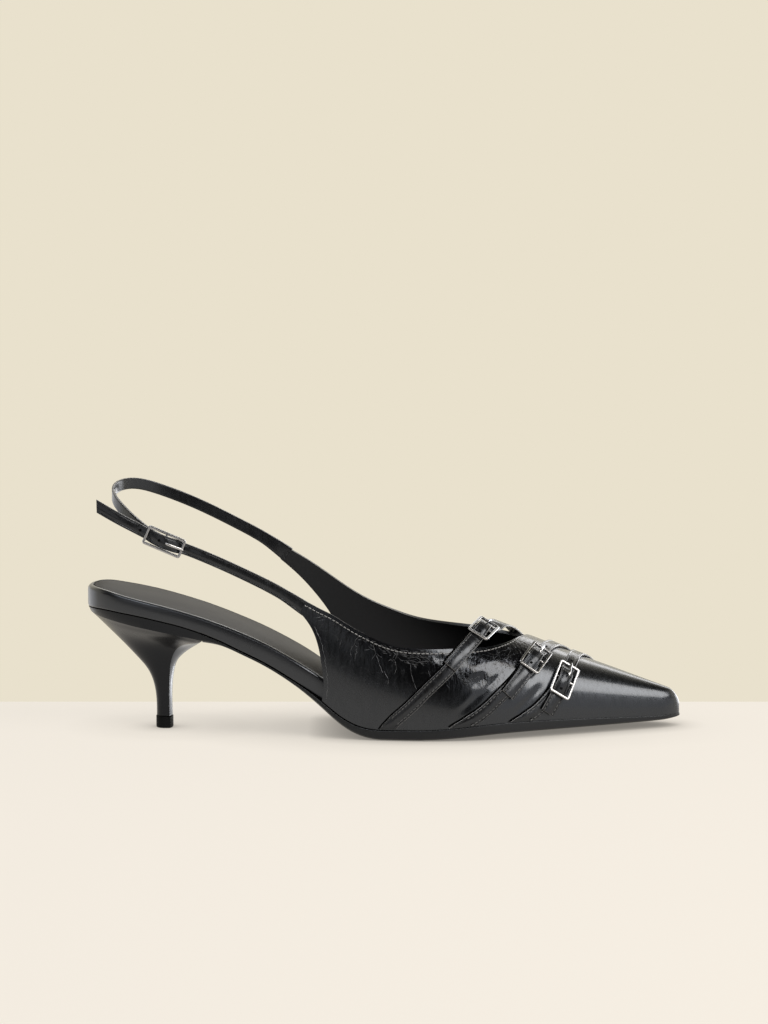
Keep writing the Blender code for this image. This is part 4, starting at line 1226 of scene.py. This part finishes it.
def dressed_ribbon(node, bends, steps, outward, slant=0.0, buckled=None):
    """A free strap, thicker where it leaves its wing and fuller in its buckle, with its grooved face outward."""
    route = SpaceRoute(bends)
    start = route.frame(0.0)[0]
    wing_angle = side_angle(outward, start.x, start.z)
    wing_point = last_point(start.x, wing_angle)
    wing_normal = last_normal(start.x, wing_angle)
    points = []
    count = 0
    for i in range(steps + 1):
        s = route.length * i / steps
        at, up, face = route.frame(s)
        root = 1 - smooth_share(s, 0.0, ROOT_LENGTH)
        tip = smooth_share(s, route.length - 4.0, route.length)
        thick = SLING_LEATHER + ROOT_THICK * root
        ahead = up.cross(face)
        out_sign = 1 if face.y * outward > 0 else -1
        face = (face * (1 - root) + wing_normal * (out_sign * root)).normalized()
        face = (face - ahead * face.dot(ahead)).normalized()
        up = face.cross(ahead)
        at = at + (wing_point - wing_normal * (thick / 2 + 0.04) - start) * root
        full = 0.0 if buckled is None else 1 - smooth_share(abs(s - route.run[buckled]), 6.0, 10.0)
        ring = band_ring((route.width(s) + ROOT_WIDE * root + BUCKLED_WIDE * full) / 2, thick)
        if face.y * outward < 0:
            ring = [(across, thick - out) for across, out in ring]
        count = len(ring)
        for across, out in ring:
            slanted = ahead * (across * slant * tip)
            points.append(at + up * across + face * (out - thick / 2) + slanted)
    cap = section_cap(count)
    faces = loft_faces(steps + 1, count, cap, cap)
    # The edge faces take the light grey edge finish: a painted highlight along the strap's edges.
    marks = edge_marks(ring, steps, cap)
    make_piece(node + "_dressed", points, faces, ["strap_leather", "strap_edge"], [node], marks)


def dress_sling():
    dressed_ribbon("sling_strap", SLING_ROUTE, 220, 1)
    dressed_ribbon("billet_strap", BILLET_ROUTE, 160, -1, TIP_SLANT, BUCKLED_BEND)
    along = Vector(SLING_BUCKLE_ALONG).normalized()
    seat = (Vector(SLING_BUCKLE_AT), along, Vector((0.0, -1.0, 0.0)))
    dress_buckle("sling_buckle", "sling_prong", SLING_BUCKLE, seat)


# Buckles

FRAME_WIDE = 1.22


def tube(path, sections, closed):
    """A wire along points that lie in one plane or nearly so, with its own section rows at each."""
    points = []
    count = len(path)
    sides = len(sections[0])
    for k, at in enumerate(path):
        before = path[k - 1] if closed or k else path[k]
        after = path[(k + 1) % count] if closed or k < count - 1 else path[k]
        ahead = (after - before).normalized()
        side = ahead.cross(Vector((0, 0, 1))).normalized()
        up = side.cross(ahead)
        points += [at + side * across + up * rise for across, rise in sections[k]]
    faces = []
    for k in range(count if closed else count - 1):
        n = (k + 1) % count
        for j in range(sides):
            m = (j + 1) % sides
            faces.append((k * sides + j, k * sides + m, n * sides + m, n * sides + j))
    if not closed:
        faces.append(tuple(range(sides)))
        faces.append(tuple((count - 1) * sides + j for j in range(sides)))
    return points, faces


def wire_section(half_width, half_height, power=2.0, sides=16):
    """Rows round a wire's section, from round (power 2) to nearly square (power 5)."""
    rows = []
    for j in range(sides):
        turn = 2 * math.pi * (j + 0.5) / sides
        c, q = math.cos(turn), math.sin(turn)
        across = half_width * math.copysign(abs(c) ** (2 / power), c)
        rows.append((across, half_height * math.copysign(abs(q) ** (2 / power), q)))
    return rows


def dress_buckle(frame_name, prong_name, size, seat):
    at, along, normal = seat
    turn = Matrix((along, normal.cross(along), normal)).transposed()
    half_x = (size.length - BUCKLE_WIRE) / 2 - BUCKLE_CORNER
    half_y = (size.width - BUCKLE_WIRE) / 2 - BUCKLE_CORNER
    path = []
    for corner, (cx, cy) in enumerate([(half_x, half_y), (-half_x, half_y), (-half_x, -half_y), (half_x, -half_y)]):
        for step in range(9):
            angle = math.pi / 2 * (corner + step / 8)
            path.append(Vector((cx + BUCKLE_CORNER * math.cos(angle), cy + BUCKLE_CORNER * math.sin(angle), 0)))
    section = wire_section(FRAME_WIDE / 2, BUCKLE_WIRE / 2, 2.8, 20)
    points, faces = tube(path, [section] * len(path), True)
    reach = half_y + BUCKLE_CORNER
    bar = wire_section(BUCKLE_WIRE * 0.42, BUCKLE_WIRE * 0.42, 2.0, 12)
    bar_points, bar_faces = tube([Vector((0, -reach, 0)), Vector((0, reach, 0))], [bar] * 2, False)
    faces += [tuple(len(points) + k for k in face) for face in bar_faces]
    points = [at + turn @ p for p in points + bar_points]
    make_piece(frame_name + "_dressed", points, faces, ["buckle_steel"], [frame_name])
    half = (size.length - BUCKLE_WIRE) / 2
    over_strap = BUCKLE_WIRE / 2 + GAP + BUCKLE_PLAY + LEATHER + 2 * GAP + PRONG_WIRE / 2
    over_bar = BUCKLE_WIRE / 2 + GAP + PRONG_WIRE / 2
    rows = [(0.8, over_strap), (2.6, over_strap), (half - 1.6, over_bar + 0.35), (half + 0.7, over_bar)]
    rise = Curve([row[0] for row in rows], [row[1] for row in rows])
    path = []
    sections = []
    for k in range(21):
        x = rows[0][0] + (rows[-1][0] - rows[0][0]) * k / 20
        path.append(Vector((x, 0, rise(x))))
        radius = PRONG_WIRE / 2 * min(1.0, 0.35 + (20 - k) * 0.2, 0.6 + k * 0.2)
        sections.append(wire_section(radius * 1.15, radius, 2.5, 12))
    points, faces = tube(path, sections, False)
    points = [at + turn @ p for p in points]
    make_piece(prong_name + "_dressed", points, faces, ["buckle_steel"], [prong_name])


# Stitches and holes, repeated with Geometry Nodes


def lay_out(tree, points, facing, shape, material, sink):
    """Sets a shape on points, turned to face a direction, as one painted mesh."""
    turn = add_node(tree, "FunctionNodeAlignRotationToVector", {"Vector": facing}, axis="Z")
    copies = add_node(tree, "GeometryNodeInstanceOnPoints", {
        "Points": points, "Instance": shape.outputs["Mesh"], "Rotation": turn.outputs["Rotation"],
    })
    real = add_node(tree, "GeometryNodeRealizeInstances", {"Geometry": copies.outputs["Instances"]})
    paint = add_node(tree, "GeometryNodeSetMaterial", {"Geometry": real.outputs["Geometry"], "Material": material})
    feed(tree, sink, {"Geometry": paint.outputs["Geometry"]})


def stitch_tree():
    """Lays one small thread stitch at even steps along a wire mesh."""
    tree = bpy.data.node_groups.get("stitch row")
    if tree is not None:
        return tree
    tree, source, sink = node_group(
        "stitch row", "GeometryNodeTree",
        [("Geometry", "Geometry", None), ("Spacing", "Float", 0.002), ("Stitch Length", "Float", 0.0014),
         ("Thread", "Float", 0.00022), ("Material", "Material", None)],
        [("Geometry", "Geometry")],
    )
    wire = add_node(tree, "GeometryNodeMeshToCurve", {"Mesh": source["Geometry"]}).outputs["Curve"]
    even = add_node(tree, "GeometryNodeResampleCurve", mode="LENGTH")
    feed(tree, even, {"Curve": wire, "Length": source["Spacing"]})
    points = add_node(tree, "GeometryNodeCurveToPoints", {"Curve": even.outputs["Curve"]}, mode="EVALUATED").outputs
    thread = add_node(tree, "GeometryNodeMeshCylinder", {
        "Vertices": 8, "Radius": source["Thread"], "Depth": source["Stitch Length"],
    })
    lay_out(tree, points["Points"], points["Tangent"], thread, source["Material"], sink)
    return tree


def repeated(name, mesh, tree, values):
    """A piece that a Geometry Nodes tree repeats over a mesh, kept as a plain mesh."""
    thing = bpy.data.objects.new(name, mesh)
    bpy.context.scene.collection.objects.link(thing)
    rows = thing.modifiers.new(name, "NODES")
    rows.node_group = tree
    for socket in tree.interface.items_tree:
        if socket.in_out == "INPUT" and socket.name in values:
            rows[socket.identifier] = values[socket.name]
    bake(thing)
    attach(thing, "root")


def stitch_row(name, points, settings, slot):
    """A row of stitches along points in shoe sizes."""
    mesh = bpy.data.meshes.new(name)
    mesh.from_pydata([tuple(to_row(p)) for p in points], [(k, k + 1) for k in range(len(points) - 1)], [])
    spacing = settings.stitch_spacing
    values = {
        "Spacing": spacing,
        "Stitch Length": spacing * STITCH_SHARE,
        "Thread": settings.thread,
        "Material": look("strap_thread" if slot == "vamp_straps" else "thread"),
    }
    repeated(name, mesh, stitch_tree(), values)


STITCH_INSET = 2.0
STITCH_END = 6.0
STITCH_SHARE = 0.7
HOLE_BEFORE = 4.6
HOLE_PAST = 4.0
BILLET_HOLES = (60.0, 72.0, 82.0)
STITCH_LIFT = 0.05
EDGE_STITCH = 0.95


def topline_route(side, inset):
    rows = OUTER_TOPLINE if side < 0 else INNER_TOPLINE
    topline = column(rows, "angle")
    points = []
    first, last = rows[0].x, THROAT_X - STITCH_END
    for k in range(160):
        x = first + (last - first) * k / 159
        angle = topline(x)
        around = last_slopes(x, angle)[1]
        angle += (-inset if side < 0 else inset) / around.length
        points.append(last_point(x, angle) + last_normal(x, angle) * STITCH_LIFT)
    return points


def dress_stitches(settings):
    stitch_row("topline_stitches_outer", topline_route(-1, STITCH_INSET), settings, "upper")
    stitch_row("topline_stitches_inner", topline_route(1, STITCH_INSET), settings, "upper")
    for number, strap in enumerate(VAMP_STRAPS, 1):
        band = Route(strap.band)
        tie = Route(strap.strap)
        lifts = strap_lifts(tie, strap, buckle_seat(tie, strap.buckle_at))
        tab_end = strap.buckle_at - VAMP_BUCKLE.length / 2 - 1.0
        band_end = band.nearest(tie.point(0.0)) - 1.0
        for side in (-1, 1):
            tab = edge_route(tie, 0.8, tab_end, side * TAB_WIDE, lambda s, rows=lifts: eased(s, rows))
            stitch_row(f"tab_{number}_stitches_{side}", tab, settings, "vamp_straps")
            low = edge_route(band, 3.0, band_end, side * BAND_WIDE, lambda s: GAP)
            stitch_row(f"band_{number}_stitches_{side}", low, settings, "vamp_straps")


def edge_route(route, first, last, width, lift):
    """Points along one edge of a vamp strap, where its stitches lie."""
    points = []
    for k in range(40):
        s = first + (last - first) * k / 39
        x, angle = route.across(s, width / 2 - math.copysign(EDGE_STITCH, width))
        points.append(last_point(x, angle) + last_normal(x, angle) * (lift(s) + LEATHER - 0.1))
    return points


def hole_tree():
    """Sets one dark round hole at each point of a mesh, facing along its "outward" attribute."""
    tree = bpy.data.node_groups.get("punched holes")
    if tree is not None:
        return tree
    tree, source, sink = node_group(
        "punched holes", "GeometryNodeTree",
        [("Geometry", "Geometry", None), ("Radius", "Float", 0.00065), ("Depth", "Float", 0.0002),
         ("Material", "Material", None)],
        [("Geometry", "Geometry")],
    )
    hole = add_node(tree, "GeometryNodeMeshCylinder", {
        "Vertices": 20, "Radius": source["Radius"], "Depth": source["Depth"],
    })
    facing = add_node(tree, "GeometryNodeInputNamedAttribute", {"Name": "outward"}, data_type="FLOAT_VECTOR")
    lay_out(tree, source["Geometry"], facing.outputs["Attribute"], hole, source["Material"], sink)
    return tree


def dress_holes(settings):
    """Small punched holes in the straps, as near-black matte plugs that end just over the leather and paint the shade
    inside each hole.
    """
    points = []
    outward = []
    for strap in VAMP_STRAPS:
        tie = Route(strap.strap)
        lifts = strap_lifts(tie, strap, buckle_seat(tie, strap.buckle_at))
        for s in (strap.buckle_at - HOLE_BEFORE, strap.buckle_at + VAMP_BUCKLE.length / 2 + HOLE_PAST):
            points.append(tie.point(s, eased(s, lifts) + LEATHER - 0.02))
            outward.append(last_normal(tie.x(s), tie.angle(s)))
    route = SpaceRoute(BILLET_ROUTE)
    for s in BILLET_HOLES:
        at, up, face = route.frame(s)
        face = face if face.y < 0 else -face
        points.append(at + face * (SLING_LEATHER / 2 - 0.02))
        outward.append(face)
    mesh = bpy.data.meshes.new("strap_holes")
    mesh.from_pydata([tuple(to_row(p)) for p in points], [], [])
    ways = mesh.attributes.new("outward", "FLOAT_VECTOR", "POINT")
    ways.data.foreach_set("vector", [part for way in outward for part in way])
    values = {"Radius": settings.hole_radius, "Material": look("hole_dark")}
    repeated("strap_holes", mesh, hole_tree(), values)


# Stage

FLOOR_BACK = 66.0
FLOOR_REACH = 4.0
CAMERA_TILT = 7.2
CAMERA_DISTANCE = 2.0
CAMERA_LENS = 212.2
CAMERA_TARGET = (131.0, 0.0, 96.0)
DARK_ROOM = (0.02, 0.02, 0.02)
BEIGE = (0.815, 0.753, 0.61)
FLOOR_WHITE = (0.896, 0.838, 0.753)
FLOOR_LIT = 0.12
FLOOR_GLOW = 0.89
CONTACT_SHADOWS = ((14.0, 0.6), (45.0, 0.4))
BLACK = (0.0, 0.0, 0.0)
WARM_WHITE = (1.0, 0.98, 0.96)

# Cards stand upright between two floor points, in metres
Card = namedtuple("Card", "name left right low high colour strength")
CARDS = table(
    Card,
    ("flag", (-0.075, -0.3), (0.14, -0.3), 0.003, 0.32, BLACK, 0.0),
    ("low_flag", (-0.9, -0.3), (-0.075, -0.3), 0.003, 0.045, BLACK, 0.0),
    ("left_card", (-0.5, -0.3), (-0.075, -0.3), 0.045, 0.4, WARM_WHITE, 0.55),
    ("fill_card", (0.3, -0.62), (1.3, 0.0), 0.0, 0.26, (0.9, 0.88, 0.86), 0.9),
    ("back_card", (-0.2, 1.2), (0.9, 1.2), 0.45, 0.8, (1.0, 0.97, 0.93), 3.2),
    ("right_card", (0.5, 1.05), (1.15, 0.4), -0.4, 0.3, WARM_WHITE, 5.0),
    ("back_left_card", (-1.15, 0.4), (-0.5, 1.05), -0.4, 0.2, WARM_WHITE, 1.2),
)


def plain_material(name, colour, lit, emission):
    """A stage surface that shines by itself for one share and is lit for another."""
    material = bpy.data.materials.new(name)
    material.use_nodes = True
    feed(material.node_tree, material.node_tree.nodes["Principled BSDF"], {
        "Base Color": (*[part * lit for part in colour], 1),
        "Roughness": 0.9,
        "Specular IOR Level": 0.0,
        "Emission Color": (*colour, 1),
        "Emission Strength": emission,
    })
    return material


def floor_material():
    """White floor with soft shadows close under the shoe, each with its own reach and depth."""
    material = plain_material("floor_white", FLOOR_WHITE, FLOOR_LIT, FLOOR_GLOW)
    tree = material.node_tree
    glow = FLOOR_GLOW
    for reach, depth in CONTACT_SHADOWS:
        near = add_node(tree, "ShaderNodeAmbientOcclusion", {"Distance": reach * MM}, samples=16)
        glow = maths(tree, "MULTIPLY", ranged(tree, near.outputs["AO"], 0.0, 1.0, 1 - depth), glow)
    feed(tree, tree.nodes["Principled BSDF"], {"Emission Strength": glow})
    return material


def area_light(name, at, aim, width, depth, power, colour=(1, 1, 1)):
    lamp = bpy.data.lights.new(name, "AREA")
    lamp.shape = "RECTANGLE"
    lamp.size = width
    lamp.size_y = depth
    lamp.energy = power
    lamp.color = colour
    thing = bpy.data.objects.new(name, lamp)
    thing.location = at
    thing.rotation_euler = (Vector(aim) - Vector(at)).to_track_quat("-Z", "Y").to_euler()
    bpy.context.scene.collection.objects.link(thing)
    return thing


def card(row):
    """A studio card that only shows in the shoe's reflections."""
    (x0, y0), (x1, y1) = row.left, row.right
    corners = [(x0, y0, row.low), (x1, y1, row.low), (x1, y1, row.high), (x0, y0, row.high)]
    mesh = bpy.data.meshes.new(row.name)
    mesh.from_pydata(corners, [], [(0, 1, 2, 3)])
    mesh.materials.append(plain_material(row.name, row.colour, 0.0, row.strength))
    thing = bpy.data.objects.new(row.name, mesh)
    for ray in ("camera", "diffuse", "transmission", "volume_scatter", "shadow"):
        setattr(thing, "visible_" + ray, False)
    bpy.context.scene.collection.objects.link(thing)


def backdrop(tree):
    """Beige backdrop behind the shoe for the camera and for what faces it, dark room elsewhere."""
    coords = add_node(tree, "ShaderNodeTexCoord").outputs["Generated"]
    way = add_node(tree, "ShaderNodeSeparateXYZ", {"Vector": coords}).outputs
    low_behind = maths(tree, "MULTIPLY", ranged(tree, way["Y"], -0.02, 0.02), ranged(tree, way["Z"], 0.8, 0.55))
    camera_ray = add_node(tree, "ShaderNodeLightPath").outputs["Is Camera Ray"]
    colour = mixed(tree, maths(tree, "MAXIMUM", low_behind, camera_ray), DARK_ROOM, BEIGE)
    feed(tree, tree.nodes["Background"], {"Color": colour})


def build_floor():
    back = FLOOR_BACK * MM
    near = -FLOOR_REACH
    corners = [(-FLOOR_REACH, near, 0), (FLOOR_REACH, near, 0), (FLOOR_REACH, back, 0), (-FLOOR_REACH, back, 0)]
    floor = bpy.data.meshes.new("floor")
    floor.from_pydata(corners, [], [(0, 1, 2, 3)])
    floor.materials.append(floor_material())
    thing = bpy.data.objects.new("floor", floor)
    bpy.context.scene.collection.objects.link(thing)


def build_camera():
    camera = bpy.data.cameras.new("camera")
    camera.sensor_fit = "HORIZONTAL"
    camera.sensor_width = 36.0
    camera.lens = CAMERA_LENS
    camera.clip_start = 0.05
    eye = bpy.data.objects.new("camera", camera)
    tilt = math.radians(CAMERA_TILT)
    eye.location = to_row(CAMERA_TARGET) - Vector((0.0, math.cos(tilt), -math.sin(tilt))) * CAMERA_DISTANCE
    eye.rotation_euler = (math.pi / 2 - tilt, 0.0, 0.0)
    bpy.context.scene.collection.objects.link(eye)
    bpy.context.scene.camera = eye


def build_stage():
    scene = bpy.context.scene
    scene.view_settings.view_transform = "Standard"
    scene.view_settings.look = "None"
    world = bpy.data.worlds.new("studio")
    world.use_nodes = True
    backdrop(world.node_tree)
    scene.world = world
    build_floor()
    area_light("softbox", (0.935, -0.64, 0.876), (0.05, 0.0, 0.02), 1.1, 0.65, 16.0, (1.0, 0.955, 0.89))
    area_light("top_fill", (-0.3, -0.5, 1.6), (0.0, 0.0, 0.0), 1.2, 0.5, 9.0)
    for row in CARDS:
        card(row)
    build_camera()


# Add-on


class ShoeSettings(bpy.types.PropertyGroup):
    crease_depth: bpy.props.FloatProperty(
        name="Crease depth", description="Share of the creases' own depth", default=1.0, min=0.0, max=2.0)
    stitch_spacing: bpy.props.FloatProperty(
        name="Stitch spacing", description="Distance between stitches", default=0.0019,
        subtype="DISTANCE", unit="LENGTH")
    thread: bpy.props.FloatProperty(
        name="Thread", description="Radius of the thread", default=0.0002, subtype="DISTANCE", unit="LENGTH")
    hole_radius: bpy.props.FloatProperty(
        name="Hole radius", description="Radius of the punched holes", default=0.00065,
        subtype="DISTANCE", unit="LENGTH")


class ShoeStep:
    bl_options = {"REGISTER"}

    def execute(self, context):
        self.build(context.scene.shoe_settings)
        return {"FINISHED"}


class SHOE_OT_sole(ShoeStep, bpy.types.Operator):
    """Builds the outsole, the insole and its sock"""

    bl_idname = "shoe.sole"
    bl_label = "Sole and insole"

    def build(self, settings):
        dress_outsole()
        dress_insole()
        dress_insock()


class SHOE_OT_heel(ShoeStep, bpy.types.Operator):
    """Builds the heel and its top piece"""

    bl_idname = "shoe.heel"
    bl_label = "Heel"

    def build(self, settings):
        dress_heel()
        dress_top_piece()


class SHOE_OT_upper(ShoeStep, bpy.types.Operator):
    """Builds the creased upper"""

    bl_idname = "shoe.upper"
    bl_label = "Upper"

    def build(self, settings):
        dress_upper(settings)
        dress_glints()


class SHOE_OT_straps(ShoeStep, bpy.types.Operator):
    """Builds the vamp straps and the sling with their buckles"""

    bl_idname = "shoe.straps"
    bl_label = "Straps and buckles"

    def build(self, settings):
        dress_vamp_straps()
        dress_sling()


class SHOE_OT_details(ShoeStep, bpy.types.Operator):
    """Builds the stitches and the straps' holes"""

    bl_idname = "shoe.details"
    bl_label = "Stitches and holes"

    def build(self, settings):
        dress_stitches(settings)
        dress_holes(settings)


class SHOE_OT_stage(ShoeStep, bpy.types.Operator):
    """Builds the floor, backdrop, lights and camera"""

    bl_idname = "shoe.stage"
    bl_label = "Stage"

    def build(self, settings):
        build_stage()


STEPS = (SHOE_OT_sole, SHOE_OT_heel, SHOE_OT_upper, SHOE_OT_straps, SHOE_OT_details, SHOE_OT_stage)


class SHOE_PT_panel(bpy.types.Panel):
    bl_idname = "SHOE_PT_panel"
    bl_label = "Kitten heel shoe"
    bl_space_type = "VIEW_3D"
    bl_region_type = "UI"
    bl_category = "Shoe"

    def draw(self, context):
        settings = context.scene.shoe_settings
        for name in ("crease_depth", "stitch_spacing", "thread", "hole_radius"):
            self.layout.prop(settings, name)
        for step in STEPS:
            self.layout.operator(step.bl_idname)


CLASSES = (ShoeSettings, *STEPS, SHOE_PT_panel)


def register():
    for one in CLASSES:
        bpy.utils.register_class(one)
    bpy.types.Scene.shoe_settings = bpy.props.PointerProperty(type=ShoeSettings)


def unregister():
    del bpy.types.Scene.shoe_settings
    for one in reversed(CLASSES):
        bpy.utils.unregister_class(one)


def main():
    register()
    bpy.ops.shoe.sole()
    bpy.ops.shoe.heel()
    bpy.ops.shoe.upper()
    bpy.ops.shoe.straps()
    bpy.ops.shoe.details()
    bpy.ops.shoe.stage()


if __name__ == "__main__":
    main()
